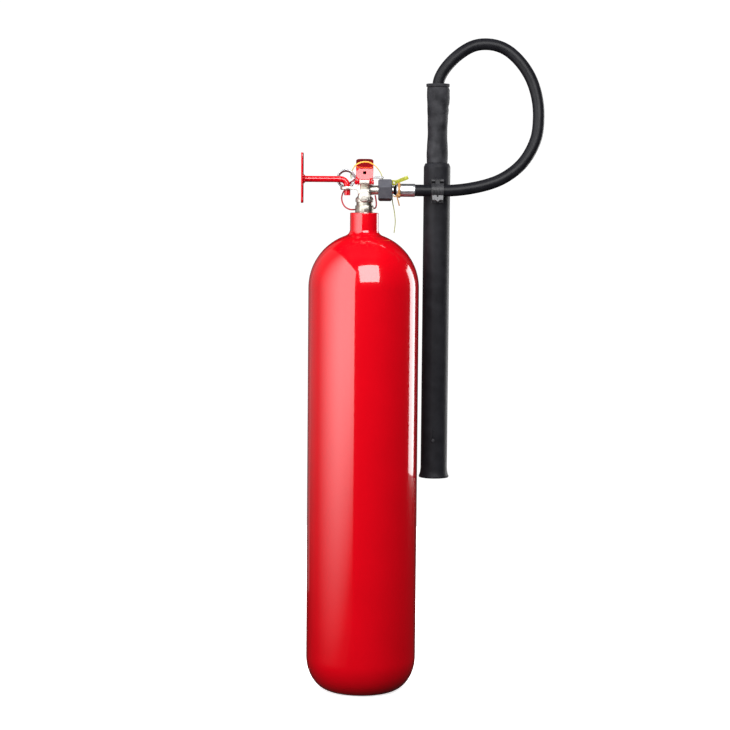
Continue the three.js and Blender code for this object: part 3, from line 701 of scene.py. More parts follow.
LANYARD_ROUTE = [
    (-19.2, 12.3, 41.8), (-19.8, 15.4, 40.8), (-20.5, 16.6, 38.4), (-22.6, 17, 35.8),
    (-26.4, 16.2, 31.8), (-29.6, 13.4, 26.6), (-31.2, 8.8, 19.8), (-29.6, 4.5, 12.4),
    (-25.7, 2.5, 7.2), (-19.4, 3, 4.2), (-14.4, 6.4, 4), (-9.6, 11.8, 4.4), (-2, 15, 5),
    (6.4, 13.6, 5.4), (12.8, 8.6, 5.8), (15.8, 2, 7.8), (16.4, -1, 13), (15.6, -1.5, 19),
    (14.8, -1, 23.6),
]


def make_hose():
    """The rubber hose: out of its ferrule, through the clip, up, over and down into the grip."""
    line = spline(HOSE_ROUTE, 320)

    def cover(share, angle):
        """A wrapped cover with a very faint spiral lap."""
        lap = math.cos(angle - share * TURN * 36)
        return HOSE_RADIUS - 0.05 + 0.05 * max(0.0, lap) ** 8

    hose = piece(sweep(line, cover, 40), "hose", HOSE_RUBBER, None)
    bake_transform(hose)


def teeth(share, angle, count, deep):
    """Fine saw teeth along one side of a strap."""
    return deep * max(0.0, math.sin(share * TURN * count)) * max(0.0, math.cos(angle))


def make_seal():
    """The tamper seal: a strap over the lever, a tag with a locking head, and a thin tail."""
    line = spline(STRAND_ROUTE, 480)

    def strap(share, angle):
        """A toothed strap with a thicker middle that lies over the lever."""
        swell = 0.35 * math.exp(-((share - 0.36) / 0.16) ** 4)
        return STRAND_RADIUS + swell + teeth(share, angle, 60, 0.16)

    strand = sweep(line, strap, 12)
    strand = piece(strand, "seal_strand", STRAND_PLASTIC, None)
    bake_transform(strand)

    head = bevelled(block(-4, 2.5, -2.4, 2.4, -3.6, 3.6), 0.7, 3)
    tag = softened([(0, -2.4), (18, -2.7), (20, -2.2), (20, 2.4), (18, 2.7), (0, 2.4)], 0.8,
                   closed=True)
    tag = bevelled(prism(tag, -0.9, 0.9, "Y"), 0.25)
    ribs = [
        bevelled(block(x, x + 0.7, -1.2, 1.2, -2.3, 2.3), 0.15) for x in (5, 7, 9, 11, 13)
    ]
    tag = turned(fused(tag, *ribs), -22, "Y")
    slot_hole = block(-1.6, 0.6, -3, 3, -1.3, 1.3)
    flag = moved(fused(cut(head, slot_hole), tag), FLAG_AT)
    flag = piece(flag, "seal_flag", SEAL_PLASTIC, "root")

    down = spline(TAIL_ROUTE, 100)

    def taper(share, angle):
        return TAIL_RADIUS * (1.25 - 0.35 * share) + teeth(share, angle, 34, 0.1)

    tail = piece(sweep(down, taper, 12), "seal_tail", TAIL_PLASTIC, "root")


def lanyard_knot():
    """The cord's hitch round the pin, and its two ends laid together down to the ring."""
    pin = Vector((-12.2, PIN_Y, PIN_Z))
    loop = [pin + Vector((0.5 * math.sin(a / 2), 2.0 * math.cos(a), 2.0 * math.sin(a)))
            for a in (TURN * k / 32 for k in range(33))]
    ends = []
    for side in (-1, 1):
        route = [(-11.6, 9.6 + side, 46.4), (-13.6, 10.2 + side, 45.2), (-16.2, 11 - side, 43.4),
                 (-18.4, 12.4 - side, 41.6), (-20, 13.4 + 0.6 * side, 39.6)]
        ends.append(sweep(spline(route, 60), 0.95, 12))
    return gathered(sweep(loop, 0.85, 12), *ends)


def make_lanyard():
    """The red cord that keeps the pin: three strands laid together round the valve's neck."""
    line = spline(LANYARD_ROUTE, 300)
    turns = length_of(line) / 5.5
    across = sides_of(tangents_of(line))
    strands = []
    for k in range(3):
        path = []
        for i, (u, v) in enumerate(across):
            angle = TURN * (turns * i / (len(line) - 1) + k / 3)
            path.append(line[i] + (u * math.cos(angle) + v * math.sin(angle)) * 0.5)
        strands.append(sweep(path, 0.62, 10))
    cord = piece(gathered(*strands), "pin_lanyard", LANYARD_CORD, None)
    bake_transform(cord)
    knot = piece(lanyard_knot(), "lanyard_knot", LANYARD_CORD, "pull_pin",
                 ["pin_lanyard"])


# ---- cylinder

def make_cylinder():
    """Drawn steel: rounded foot, straight wall, round shoulder, and a collar for the valve."""
    low, high = span("cylinder")
    radius = high.x
    foot_radius, foot_height, foot_floor = 41, 47.5, 8
    collar, bore, mouth, blend, wall = 19.5, 13, 15, 9, 5.4
    centre = -103
    side = collar + blend
    rise = math.sqrt((radius + blend) ** 2 - side ** 2)
    meet = math.degrees(math.atan2(rise, side))
    inner = radius - wall
    lip = math.degrees(math.acos(bore / inner))
    foot = low.z + foot_height
    profile = [
        (0, low.z),
        *arc(foot_radius, foot, radius - foot_radius, foot_height, -90, 0, 28),
        *[(radius, foot + (centre - foot) * i / 12) for i in range(1, 12)],
        *arc(0, centre, radius, radius, 0, meet, 44),
        *arc(side, centre + rise, blend, blend, meet - 180, -180, 14)[1:],
        *softened([(collar, -14), (collar, 0), (mouth, 0), (mouth, -2.2), (bore, -2.2),
                   (bore, -6)], 1.2)[1:],
        *arc(0, centre, inner, inner, lip, 0, 20),
        *arc(foot_radius, foot, radius - foot_radius - wall, foot_height - foot_floor, 0, -90, 12),
        (0, low.z + foot_floor),
    ]
    shell = lathe(profile, 160)
    piece(shell, "cylinder", CYLINDER_RED, "root")


# ---- valve

BODY_LEFT, BODY_RIGHT, BODY_FRONT, BODY_BACK = -8.9, 7.6, -9, 13
BODY_TOP = 39
FLANGE_BOTTOM, FLANGE_TOP = 14.4, 20.4
OUTLET_Z = 31
LUG_X = -23.6
BURST_Z = 22
PIVOT_Y, PIVOT_Z = -12, 41.4
HANDLE_SCREWS = (28, 35.5)
OUTLET_AT, BURST_AT = (0, 0, OUTLET_Z), (0, 0, BURST_Z)
PIVOT_AT, PIN_AT = (0, PIVOT_Y, PIVOT_Z), (0, PIN_Y, PIN_Z)


def valve_forging():
    """The hot-forged part of the valve, before any machining."""
    body = rounded_box(BODY_LEFT, BODY_RIGHT, BODY_FRONT, BODY_BACK, 2.4)
    column = prism(body, FLANGE_TOP - 1, BODY_TOP + 0.4)
    boss = lathe([(0, -12.8), (7.6, -12.8), (8.3, -9.4), (8.8, -7), (0, -7)], 48, "Y", BURST_AT)
    arm = lathe([(0, 4), (8, 4), (7.6, 8), (6.6, 11), (6.3, 14), (6.3, 21.2), (0, 21.2)], 48,
                "X", OUTLET_AT)
    skirt = lathe([(0, 17), (12.1, 17), (12.2, 19.6), (9.5, 22.5), (0, 22.5)], 64)
    eye = soft_rod(8.1, 31, 36, 1.8, 48, "Z", (LUG_X - 1.4, 0, 0))
    web_side = [(-26, 31.2), (-13, 31.2), (-7, 29), (-7, 37), (-13, 35.6), (-26, 35.8)]
    web_plan = [(-26, -8), (-18, -6.6), (-7, -8), (-7, 8), (-18, 6.6), (-26, 8)]
    web = kept_inside(prism(web_side, -9, 9, "Y"), prism(web_plan, 25, 40))
    pivot = prism(softened([(-16.6, 38.6), (-16.6, 44.7), (6, 44.7), (6, 38.6)], 1.8, closed=True),
                  -6.7, 6.7, "X")
    gusset = prism([(-16, 39.4), (-9, 39.4), (-9, 33)], -6, 6, "X")
    rear = prism(rounded_box(6, 15.5, 38, 52.6, 2.6), -5.6, 5.6, "X")
    return melted(fused(column, boss, arm, skirt, eye, web, pivot, gusset, rear), 0.42, 4)


def make_valve():
    """The forging with its machined ends, bores and seats; darker below the flange, where shade is
    painted into the nickel.
    """
    neck = prism(arc(0, 0, 12.6, 12.6, 0, 330, 11), 0.5, 9.8)
    neck = bevelled(neck, 0.3, 2, 20)
    shank = soft_rod(12.6, -23, 0.8, 0.8, 64)
    groove = soft_rod(11, 9, 14.8, 0.3, 64)
    flange = soft_rod(12.3, FLANGE_BOTTOM, FLANGE_TOP - 1.6, 0.9, 64)
    face = soft_rod(7.4, -13, -11, 0.5, 48, "Y", BURST_AT)
    top = soft_rod(6.2, 38, 47, 0.6, 48)
    collar = soft_rod(6.4, 18, 20.6, 0.3, 48, "X", OUTLET_AT)
    thread = [(0, 20.4), (7.6, 20.4)]
    for i in range(4):
        x = 21 + 1.45 * i
        thread += [(8.5, x + 0.4), (8.5, x + 0.7), (7.7, x + 1.1), (7.7, x + 1.3)]
    thread += [(7.4, 27), (0, 27)]
    nose = lathe(thread, 48, "X", OUTLET_AT)
    valve = fused(valve_forging(), neck, shank, groove, flange, face, top, collar, nose)
    valve = cut(
        valve,
        rod(6.3, -24, 24),
        rod(3.1, 23, 27.1),
        lathe([(0, 27), (5.2, 27), (5.2, 46), (6, 47.2), (0, 47.2)], 48),
        rod(3.5, 0, 28, "X", OUTLET_AT),
        rod(4.7, -14, -5, "Y", BURST_AT),
        lathe([(0, 30), (5.6, 30), (4.8, 31.8), (4.8, 35.2), (5.6, 37), (0, 37)], 48, "Z",
              (LUG_X, 0, 0)),
        rod(2.3, -9, 9, "X", PIVOT_AT),
        rod(1.7, -8, 8, "X", PIN_AT),
        *[rod(2.2, 8, 14, "Y", (0, 0, z)) for z in HANDLE_SCREWS],
    )
    valve = piece(valve, "valve_body", NICKEL, "root", crease=30)
    # Faces below the flange get the darker nickel: painted shade under the flange.
    valve.data.materials.append(SHADED_NICKEL)
    painted_shade_below = in_metres((0, 0, FLANGE_BOTTOM + 0.1)).z
    for face in valve.data.polygons:
        if face.center.z < painted_shade_below:
            face.material_index = 1


def hex_head(across_flats, start, end, chamfer, axis, at, turn=0, both=False):
    """A hexagon whose corners are turned off at its outer end, or at both ends."""
    radius = across_flats / math.sqrt(3)
    drop = chamfer * (1 if end > start else -1)
    profile = [(0, start), (radius + 0.2, start), (radius + 0.2, end - drop),
               (across_flats / 2 * 0.96, end), (0, end)]
    if both:
        profile[1:2] = [(across_flats / 2 * 0.96, start), (radius + 0.2, start + drop)]
    body = moved(prism(hexagon(across_flats, turn), start, end, axis), at)
    return kept_inside(body, lathe(profile, 72, axis, at))


def make_burst_plug():
    """The pressure-relief plug on the front, with a small round face, a shallow vent recess at its
    centre, and a plain shank.
    """
    tip = span("burst_plug")[0].y
    head = hex_head(12.4, -12.9, -16.3, 0.8, "Y", BURST_AT, 30)
    face = soft_rod(5.1, -15, tip, 0.7, 48, "Y", BURST_AT)
    shank = rod(4.4, -13.2, -9.2, "Y", BURST_AT)
    dimple = lathe([(0, tip - 1), (1.3, tip - 1), (0.5, tip + 0.7), (0, tip + 0.7)], 24, "Y",
                   BURST_AT)
    plug = cut(fused(head, face, shank), dimple)
    piece(plug, "burst_plug", NICKEL, "root", crease=25)


def make_valve_trim():
    """What shows of the valve's inside: the guide and the stem's rounded tip."""
    guide = soft_lathe([(2.8, 40.8), (4.9, 40.8), (4.9, 47.3), (6, 47.3), (6, 50), (2.8, 50),
                        (2.8, 40.8)], 0.3, 48)
    notches = [turned(block(4.6, 7, -1, 1, 48.6, 51), 90 * i, "Z") for i in range(4)]
    piece(cut(guide, *notches), "stem_guide", BRASS, "root")
    stem = soft_lathe([(0, 7), (2.4, 7), (2.4, 15.9), (5.7, 15.9), (5.7, 20), (2, 20),
                       (2, 27.5), (2.5, 28), (2.5, 57.5), (1.2, 59.3), (0, 59.3)], 0.4, 40)
    piece(stem, "valve_stem", DARK_BRASS, "stem")


# ---- lever and handle

def make_lever():
    """The pressed-steel lever: a channel with a closed front, on two ears."""
    low, high = span("operating_lever")
    front, far = low.y, high.y
    sheet, slope, top_front, skirt, lean = 2, 0.138, 59.5, 45, 2.8
    half, far_half = 11.6, high.x

    def top(y):
        return top_front + (y - front) * slope

    def plan(inset, corner):
        outline = [(-half + inset, front + inset), (half - inset, front + inset),
                   (far_half - inset, far - inset), (-far_half + inset, far - inset)]
        rounding = [corner * 0.35, corner * 0.35, corner, corner]
        made = []
        for i, point in enumerate(outline):
            before, after = outline[i - 1], outline[(i + 1) % 4]
            made += softened([before, point, after], rounding[i], 5)[1:-1]
        return made

    def on_top(point):
        return abs(point.z - top(point.y)) < 0.05 and point.y > front + lean + 0.5

    def on_front(point):
        at_side = abs(abs(point.x) - half) < 0.3
        return at_side and point.y < front + lean + 0.5 and point.z > skirt - 0.1

    face_top = (front + lean, top(front + lean))
    side = [(front, skirt), (20, skirt), (34, 51), (80, top(80) - 11), (far, top(far) - 9),
            (far, top(far)), face_top]
    outside = kept_inside(prism(side, -14, 14, "X"), prism(plan(0, 9), 30, 90))
    outside = rounded_edges(outside, 2.3, on_top)
    outside = rounded_edges(outside, 1.1, on_front)
    inside = front + sheet
    hollow = [(inside, 30), (far, 30), (far, top(far) - sheet),
              (inside + lean, top(inside + lean) - sheet), (inside, skirt)]
    cavity = kept_inside(prism(softened(hollow, 2, closed=True), -14, 14, "X"),
                         prism(plan(sheet, 7), 28, 90))
    lever = cut(outside, cavity)
    ear_from, ear_to, ear_back = 6.9, 8.9, -7
    for s in (-1, 1):
        ear = rod(3.6, s * ear_from, s * ear_to, "X", PIVOT_AT)
        x0, x1 = sorted((s * ear_from, s * ear_to))
        stem = block(x0, x1, front, ear_back, PIVOT_Z, skirt + 2)
        w0, w1 = sorted((s * ear_from, s * (half - 0.2)))
        web = block(w0, w1, front + 0.05, ear_back, skirt + 0.05, skirt + 2)
        lever = fused(lever, ear, stem, web)
    slots = [
        turned(rod(2.05, -15, 15, "X", PIN_AT, 24), 3 * i, "X", PIVOT_AT) for i in range(5)
    ]
    lever = cut(lever, rod(2.3, -12, 12, "X", PIVOT_AT),
                rod(2.35, front - 2, front + 6, "Y", (0, 0, 54.4)), *slots)
    lever = bevelled(lever, 0.22, 2, 40)
    piece(lever, "operating_lever", FITTING_RED, "lever")


def make_pivot():
    """The lever's bolt, with a hexagon socket, and the nut on its far end."""
    at = PIVOT_AT
    head = soft_rod(3.2, 9.3, 12.8, 0.7, 40, "X", at)
    socket = moved(prism(hexagon(3.0), 11, 14, "X"), at)
    shank = rod(2, -13.6, 9.6, "X", at)
    bolt = fused(cut(head, socket), shank)
    piece(bolt, "lever_pivot_bolt", FITTING_RED, "root", crease=25)
    nut = hex_head(6.2, -9.3, -13, 0.6, "X", at)
    nut = cut(nut, rod(2.2, -14, -9, "X", at))
    piece(nut, "lever_pivot_nut", FITTING_RED, "root", crease=25)


def make_carry_handle():
    """The fixed grip under the lever: a folded channel screwed to the back of the valve."""
    low, high = span("carry_handle")
    near, far, half, sheet = low.y, high.y, high.x, 2

    def top(y):
        return 38 - (y - near) * 0.05

    bottom = [(near, 22), (40, 20), (far - 12, 17), (far, 19)]
    outline = softened([*bottom, (far, top(far) - 2), (far - 5, top(far)), (near, top(near))], 3,
                       closed=True)
    hollow = [(near + sheet, 24), (40, 22), (far - 12, 19), (far - sheet, 21), (far - sheet, 45),
              (near + sheet, 45)]
    channel = bevelled(prism(outline, -half, half, "X"), 0.9, 3, 50)
    inside = prism(softened(hollow, 2, closed=True), -half + sheet, half - sheet, "X")
    holes = [rod(2.4, near - 1, near + 4, "Y", (0, 0, z)) for z in HANDLE_SCREWS]
    channel = cut(channel, inside, *holes)
    piece(bevelled(channel, 0.25, 2, 40), "carry_handle", FITTING_RED, "root")
    for name, z in zip(("handle_screw_lower", "handle_screw_upper"), HANDLE_SCREWS):
        at = (0, 0, z)
        head = soft_lathe([(0, near + 2.3), (3.3, near + 2.3), (3.3, near + 3.6),
                           (0, near + 4.5)], 0.6, 32, "Y", at)
        shank = rod(1.9, near - 4.5, near + 2.5, "Y", at)
        recess = fused(block(-2, 2, near + 3.6, near + 6, z - 0.4, z + 0.4),
                       block(-0.4, 0.4, near + 3.6, near + 6, z - 2, z + 2))
        piece(cut(fused(head, shank), recess), name, ZINC, "root")


# ---- pin and hook

def make_safety_pin():
    """One steel wire: a straight pin that ends in a pull ring of nearly two turns."""
    wire = 1.25
    ring_x, ring_z, ring_radius = -25.4, 46.2, 12
    first, last, step_from, step_to, step_back, step_in = 24, 675, 320, 378, 2.75, 1.5
    loop = []
    for i in range(33):
        degrees = first + (last - first) * i / 32
        step = eased(clamped((degrees - step_from) / (step_to - step_from)))
        radius = ring_radius - step_in * step
        angle = math.radians(degrees)
        loop.append((ring_x + radius * math.cos(angle), PIN_Y + step_back * step,
                     ring_z + radius * math.sin(angle)))
    straight = [(x, PIN_Y, PIN_Z) for x in (25, 15, 5, -3, -9)]
    elbow = [(-11.7, PIN_Y, 48.5), (-13.4, PIN_Y, 49.7)]
    line = spline([*straight, *elbow, *loop], 320)
    piece(sweep(line, wire, 16), "safety_pin", WIRE, "pull_pin")


def make_wall_hook():
    """The hanger: a bent round bar welded to a screw plate."""
    radius, height, bend, plate_x, end_z = 4.25, 45.5, 10, -84, 23.5
    bend_x = LUG_X - bend
    curve = [(x, 0, z) for x, z in arc(bend_x, height - bend, bend, bend, 90, 0, 6)]
    straight = [(x, 0, height) for x in (plate_x + 0.3, -70, -58, -46, -38)]
    line = spline([*straight, *curve, (LUG_X, 0, 30), (LUG_X, 0, end_z)], 120)
    bar = sweep(line, radius, 32, rounded=False)
    bar = bevelled(bar, 0.7, 3, 60)

    def beads(angle, along):
        return 0.35 * math.sin(angle * 9) + 0.2 * math.sin(angle * 23)

    weld = soft_lathe([(3.9, plate_x + 0.35), (6.4, plate_x + 0.35), (5.4, plate_x + 1.9),
                       (4.2, plate_x + 3), (3.9, plate_x + 0.35)], 0.5, 72, "X", (0, 0, height),
                      beads)
    piece(fused(bar, weld), "hook_rod", FITTING_RED, "wall_hook")

    low, high = span("hook_plate")
    outline = rounded_box(low.y, high.y, low.z, high.z, 5, 8)
    centre = (low.z + high.z) / 2
    sinks = [
        lathe([(0, high.x + 1), (3.9, high.x + 1), (3.9, high.x), (2.6, high.x - 1.3),
               (2.6, low.x - 1), (0, low.x - 1)], 32, "X", (0, 0, centre + side * 24))
        for side in (-1, 1)
    ]
    plate = cut(bevelled(prism(outline, low.x, high.x, "X"), 0.4), *sinks)
    piece(plate, "hook_plate", FITTING_RED, "wall_hook")


# ---- hose fittings

def make_union_nut():
    """The hexagon nut that holds the hose's nipple on the outlet."""
    low, high = span("union_nut")
    at = OUTLET_AT
    body = hex_head(27, low.x, high.x, 2.4, "X", at, 45, True)
    mouth = lathe([(0, low.x - 0.2), (9.8, low.x - 0.2), (8.9, low.x + 0.9), (0, low.x + 0.9)],
                  48, "X", at)
    body = cut(body, rod(8.9, low.x - 1, 33.3, "X", at), rod(5.9, low.x - 1, high.x + 1, "X", at),
               mouth)
    piece(bevelled(body, 0.45, 3, 25), "union_nut", DARK_NUT, "root", crease=25)


def make_nipple_and_ferrule():
    """The end of the hose: a plated nipple, and a steel ferrule pressed round the rubber."""
    at = OUTLET_AT
    nipple = soft_lathe([(3.5, 29.1), (8.5, 29.1), (8.5, 33), (5.5, 33), (5.5, 38.6), (5.1, 39.2),
                         (5.1, 40.2), (5.5, 40.8), (5.5, 45.6), (3.5, 45.6), (3.5, 29.1)],
                        0.3, 48, "X", at)
    piece(nipple, "hose_nipple", BRIGHT_NICKEL, "root")
    low, high = span("hose_ferrule")
    start, end = low.x, high.x

    def crimp(angle, along):
        """Eight pressed flats between a plain collar at each end."""
        reach = min(clamped((along - start - 5) / 1.2), clamped((end - 2.2 - along) / 1.2))
        return -0.42 * reach * (1 - abs(math.cos(4 * angle)) ** 0.6)

    outer = [(5.8, start), (9, start), (9, start + 3.6), (8.55, start + 4.2), (8.55, start + 4.8),
             (9, start + 5.2), *[(9, start + 5.4 + i) for i in range(17)], (9, end - 1.8),
             (9, end)]
    profile = [*outer, (8.3, end), (8.3, start + 1.5), (5.8, start + 1.5), (5.8, start)]
    ferrule = soft_lathe(profile, 0.5, 96, "X", at, crimp)
    piece(ferrule, "hose_ferrule", STEEL, "root")


def make_tag_tie():
    """A tan plastic strap: round the ferrule, knotted at the front, with its ends hanging."""
    ring = soft_lathe([(9.35, 45.6), (10.3, 45.6), (10.3, 49), (9.35, 49), (9.35, 45.6)], 0.4,
                      72, "X", OUTLET_AT)
    knot = bevelled(block(43.6, 48.4, -11.5, -8.3, 22.4, 26.2), 1.3, 3)
    wrap = turned(lathe([(1.6, -2.2), (2.3, -2.2), (2.3, 2.2), (1.6, 2.2), (1.6, -2.2)], 32, "X",
                        (46.2, -10, 24.3)), 35, "Y", (46.2, -10, 24.3))
    tail = sweep(spline([(44.6, -10.5, 24), (45, -10.8, 20), (46.4, -10.6, 15.5),
                         (47.6, -10.2, 10.5)], 40), 0.9, 12)
    short = sweep(spline([(44.4, -9.9, 23.2), (41.8, -10.4, 22.2), (39.6, -10.4, 23.4)], 24),
                  0.75, 12)
    tie = fused(ring, knot, wrap, tail, short)
    piece(tie, "tag_tie", TIE_STRAP, "root", crease=40)


# ---- horn, grip and clip

HORN_X, HORN_Y, HORN_RADIUS, HORN_WALL = 100, 28, 18.4, 2
HORN_TOP, HORN_BOTTOM = 68.5, -368
HORN_AT = (HORN_X, HORN_Y, 0)
RIVET_Z = -315
RIVET_X = HORN_X - 2


def make_horn():
    """The discharge horn: a long moulded tube with a tapered shoulder and a flared mouth."""
    inner = HORN_RADIUS - HORN_WALL
    neck = 5.7
    outside = [(neck, HORN_TOP), (HORN_RADIUS - 2.2, HORN_TOP), (HORN_RADIUS, HORN_TOP - 5),
               *[(HORN_RADIUS, HORN_TOP - 8 - 42 * i) for i in range(10)],
               (HORN_RADIUS, HORN_BOTTOM + 13), (HORN_RADIUS + 0.5, HORN_BOTTOM + 8),
               (20, HORN_BOTTOM + 3.4), (20.8, HORN_BOTTOM + 2.6), (20.8, HORN_BOTTOM)]
    inside = [(18.8, HORN_BOTTOM), (inner + 0.8, HORN_BOTTOM + 7), (inner, HORN_BOTTOM + 14),
              (inner, HORN_TOP - 11), (neck, HORN_TOP - 11), (neck, HORN_TOP)]
    shell = soft_lathe([*outside, *inside], 1.2, 112, "Z", HORN_AT)
    front = HORN_Y - HORN_RADIUS
    rivet_at = (RIVET_X, 0, RIVET_Z)
    groove = rounded_box(RIVET_X - 0.65, RIVET_X + 0.65, RIVET_Z + 3.4, RIVET_Z + 17, 0.6)
    shell = cut(shell, prism(groove, front - 1, front + 1.4, "Y"),
                rod(1.5, front - 2, front + 4, "Y", rivet_at, 24))
    piece(shell, "horn", HORN_PLASTIC, "horn_assembly")
    rivet = soft_lathe([(0, front - 1.3), (1.9, front - 1.0), (2.2, front - 0.3),
                        (1.1, front - 0.3), (1.1, front + 3.2), (0, front + 3.2)],
                       0.3, 32, "Y", rivet_at)
    piece(rivet, "horn_rivet", BLACK_STEEL, "horn_assembly")
    nozzle = soft_lathe([(4.3, 45), (6.8, 45), (8, 49), (8, 57), (4.3, 57), (4.3, 45)], 0.4,
                        48, "Z", HORN_AT)
    piece(nozzle, "nozzle", BRASS, "horn_assembly")


def make_grip():
    """The rubber sleeve: waisted, swollen on one side at the top, and softly wrinkled there."""
    low, high = span("grip")
    rng = random.Random(7)
    limits = ((-0.9, 0.5), (132, 168), (0.25, 0.7), (0.5, 1.1))
    folds = [[rng.uniform(*limit) for limit in limits] for _ in range(11)]
    foot = low.z - 0.28
    sleeve_end = 171.5
    waist = [(foot, 14.4), (80, 14.7), (91, 14.3), (107, 13.5), (125, 13.8), (143, 14.4),
             (161, 15.0), (sleeve_end, 15.0)]

    def radius_at(z):
        for (z0, r0), (z1, r1) in zip(waist, waist[1:]):
            if z <= z1:
                return r0 + (r1 - r0) * eased((z - z0) / (z1 - z0))
        return waist[-1][1]

    def wrinkle(angle, along):
        """Swelling towards +X near the top, with folds across it and a slightly uneven skin."""
        if along < foot + 0.5 or along > sleeve_end + 0.5:
            return 0.0
        swell = clamped((along - 118) / 40) * min(1.0, (sleeve_end + 0.5 - along) / 4)
        reach = 1.5 * swell * max(0.0, math.cos(angle)) ** 2
        for centre, height, tilt, deep in folds:
            bend = math.remainder(angle - centre, TURN)
            line = along - height - tilt * bend * 6
            reach -= 0.6 * deep * math.exp(-(bend / 0.5) ** 2 - (line / 1.7) ** 2)
        place = Vector((math.cos(angle) * 2.2, math.sin(angle) * 2.2, along / 13))
        return reach + 0.3 * noise.noise(place)

    sleeve = [(radius_at(z), z) for z in np.linspace(foot + 0.9, sleeve_end, 96)]
    profile = [
        (9.8, foot), (13.9, foot), *sleeve,
        *softened([(15, sleeve_end), (14.6, 172.6), (16.1, 173.6), (16.1, high.z), (9, high.z),
                   (9, sleeve_end)], 0.8)[1:],
        (9.8, sleeve_end), (9.8, foot),
    ]
    shell = lathe(profile, 96, "Z", HORN_AT, wrinkle)
    piece(shell, "grip", GRIP_RUBBER, "horn_assembly", crease=60)


CLIP_HALF, CLIP_ARM, CLIP_BORE = 8.5, 5, 8.3
CLIP_ENDS = (HORN_X - CLIP_HALF, HORN_X + CLIP_HALF)
HINGE_AT = (0, 2.5, 44.4)
SCREW_AT = (HORN_X, 0, 18)


def make_clip_base():
    """The hose clip's saddle on the horn, with a knuckle at each end for the gate's hinge."""
    left, right = CLIP_ENDS
    hinge_y, hinge_z = HINGE_AT[1:]
    back = HORN_Y - HORN_RADIUS + 4
    saddle = bevelled(block(left, right, 4.6, back, 14, 47), 0.8, 3)
    saddle = cut(
        saddle,
        rod(HORN_RADIUS + 0.3, -57, 143, "Z", HORN_AT, 112),
        rod(CLIP_BORE, left - 1, right + 1, "X", OUTLET_AT, 64),
        block(left + CLIP_ARM + 0.3, right - CLIP_ARM - 0.3, 3, 7.4, hinge_z - 5, hinge_z + 5),
        block(left - 1, right + 1, 3, 7.4, 12, OUTLET_Z - 9.5),
    )
    for x0, x1 in ((left, left + CLIP_ARM), (right - CLIP_ARM, right)):
        knuckle = soft_rod(2.6, x0, x1, 0.4, 32, "X", HINGE_AT)
        root = block(x0 + 0.05, x1 - 0.05, hinge_y, 6, hinge_z - 2.6, hinge_z + 2.6)
        saddle = fused(saddle, knuckle, root)
    saddle = cut(saddle, rod(1.3, left - 1, right + 1, "X", HINGE_AT),
                 rod(1.7, 4, 12, "Y", SCREW_AT))
    piece(saddle, "clip_base", CLIP_PLASTIC, "horn_assembly")


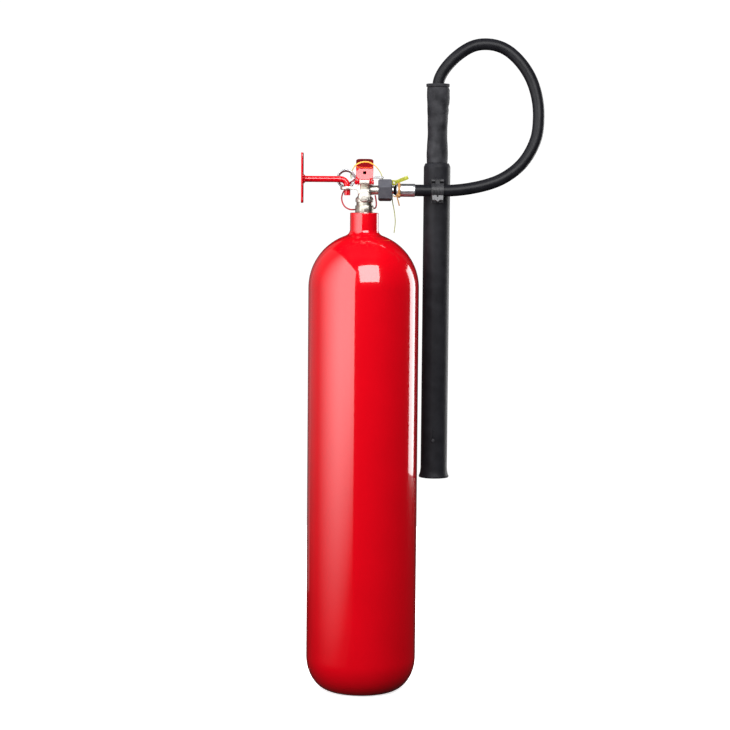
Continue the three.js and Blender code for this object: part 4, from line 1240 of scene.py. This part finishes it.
def make_clip_gate():
    """The hinged gate that holds the hose, with a lighter grey plate hanging below it."""
    left, right = CLIP_ENDS
    hinge_y, hinge_z = HINGE_AT[1:]
    outer = 10.2
    shell = rod(outer, left, right, "X", OUTLET_AT, 72)
    shell = bevelled(shell, 0.5, 2, 60)
    shell = cut(shell, block(left - 1, right + 1, 0.4, 20, 13, 53),
                block(left - 1, right + 1, -0.5, 20, 13, OUTLET_Z))
    ribs = [
        kept_inside(soft_rod(outer + 0.6, x - 0.95, x + 0.95, 0.5, 64, "X", OUTLET_AT),
                    block(left, right, -20, -5, OUTLET_Z - 6, OUTLET_Z + 8))
        for x in (HORN_X - 6, HORN_X - 2, HORN_X + 2, HORN_X + 6)
    ]
    stalk_half = CLIP_HALF - CLIP_ARM - 0.6
    x0, x1 = HORN_X - stalk_half, HORN_X + stalk_half
    stalk = block(x0, x1, -1.2, hinge_y, OUTLET_Z + outer - 1.6, hinge_z + 1.5)
    knuckle = soft_rod(2.6, x0, x1, 0.4, 32, "X", HINGE_AT)
    plate = softened([(left + 1, 25.5), (right - 1, 25.5), (right - 1, 18), (HORN_X + 2.4, 17.6),
                      (HORN_X, 15.5), (HORN_X - 2.4, 17.6), (left + 1, 18)], 0.6, closed=True)
    tongue = bevelled(prism(plate, -8, -5.4, "Y"), 0.4)
    tongue = turned(tongue, -14, "X", (0, -6.7, 25.5))
    tongue = cut(tongue, block(HORN_X - 1.1, HORN_X + 1.1, -9, -4, 22.4, 24.8),
                 *[rod(0.55, -12, -4, "Y", (HORN_X + x, 0, 19.6), 20) for x in (-4.6, 0, 4.6)])
    gate = fused(shell, *ribs, stalk, knuckle)
    gate = cut(gate, rod(1.3, left - 1, right + 1, "X", HINGE_AT),
               rod(CLIP_BORE, left - 1, right + 1, "X", OUTLET_AT, 64))
    piece(gate, "clip_gate", CLIP_PLASTIC, "clip_gate")
    piece(tongue, "clip_tongue", LIGHT_GREY_PLASTIC, "clip_gate", ["clip_gate"])


def make_clip_fixings():
    """The gate's hinge pin, and the screw through the saddle."""
    pin = soft_rod(1, *CLIP_ENDS, 0.3, 24, "X", HINGE_AT)
    piece(pin, "clip_hinge_pin", BLACK_STEEL, "horn_assembly")
    screw = soft_lathe([(0, 5.6), (2.4, 5.8), (2.8, 7.1), (0, 7.1)], 0.4, 32, "Y", SCREW_AT)
    screw = fused(screw, rod(1.4, 7, 9.6, "Y", SCREW_AT, 24))
    screw = cut(screw, block(HORN_X - 3, HORN_X + 3, 5, 6.1, 17.7, 18.3))
    piece(screw, "clip_screw", BLACK_STEEL, "horn_assembly")


# ---- CAD pieces that stay

INSIDE = {
    "neck_seal": SEAL_RUBBER, "dip_tube": NYLON, "burst_washer": ZINC, "burst_disc": NICKEL,
    "spring_retainer": BRASS, "valve_spring": WIRE, "stem_seal": NYLON, "stem_o_ring": SEAL_RUBBER,
    "outlet_washer": NYLON, "discharge_tube": ZINC, "grip_ferrule": ZINC, "horn_lock_nut": BRASS,
}


def finish_inside():
    """The pieces inside keep their CAD shape and get their own finish."""
    for name, material in INSIDE.items():
        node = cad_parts[name]
        node.data.materials.clear()
        node.data.materials.append(material)


bpy.context.scene.view_settings.view_transform = "Standard"
set_camera()
make_hose()
make_seal()
make_lanyard()
set_world()
set_lights()
add_floor()
make_cylinder()
make_valve()
make_burst_plug()
make_valve_trim()
make_lever()
make_pivot()
make_carry_handle()
make_safety_pin()
make_wall_hook()
make_union_nut()
make_nipple_and_ferrule()
make_tag_tie()
make_horn()
make_grip()
make_clip_base()
make_clip_gate()
make_clip_fixings()
finish_inside()
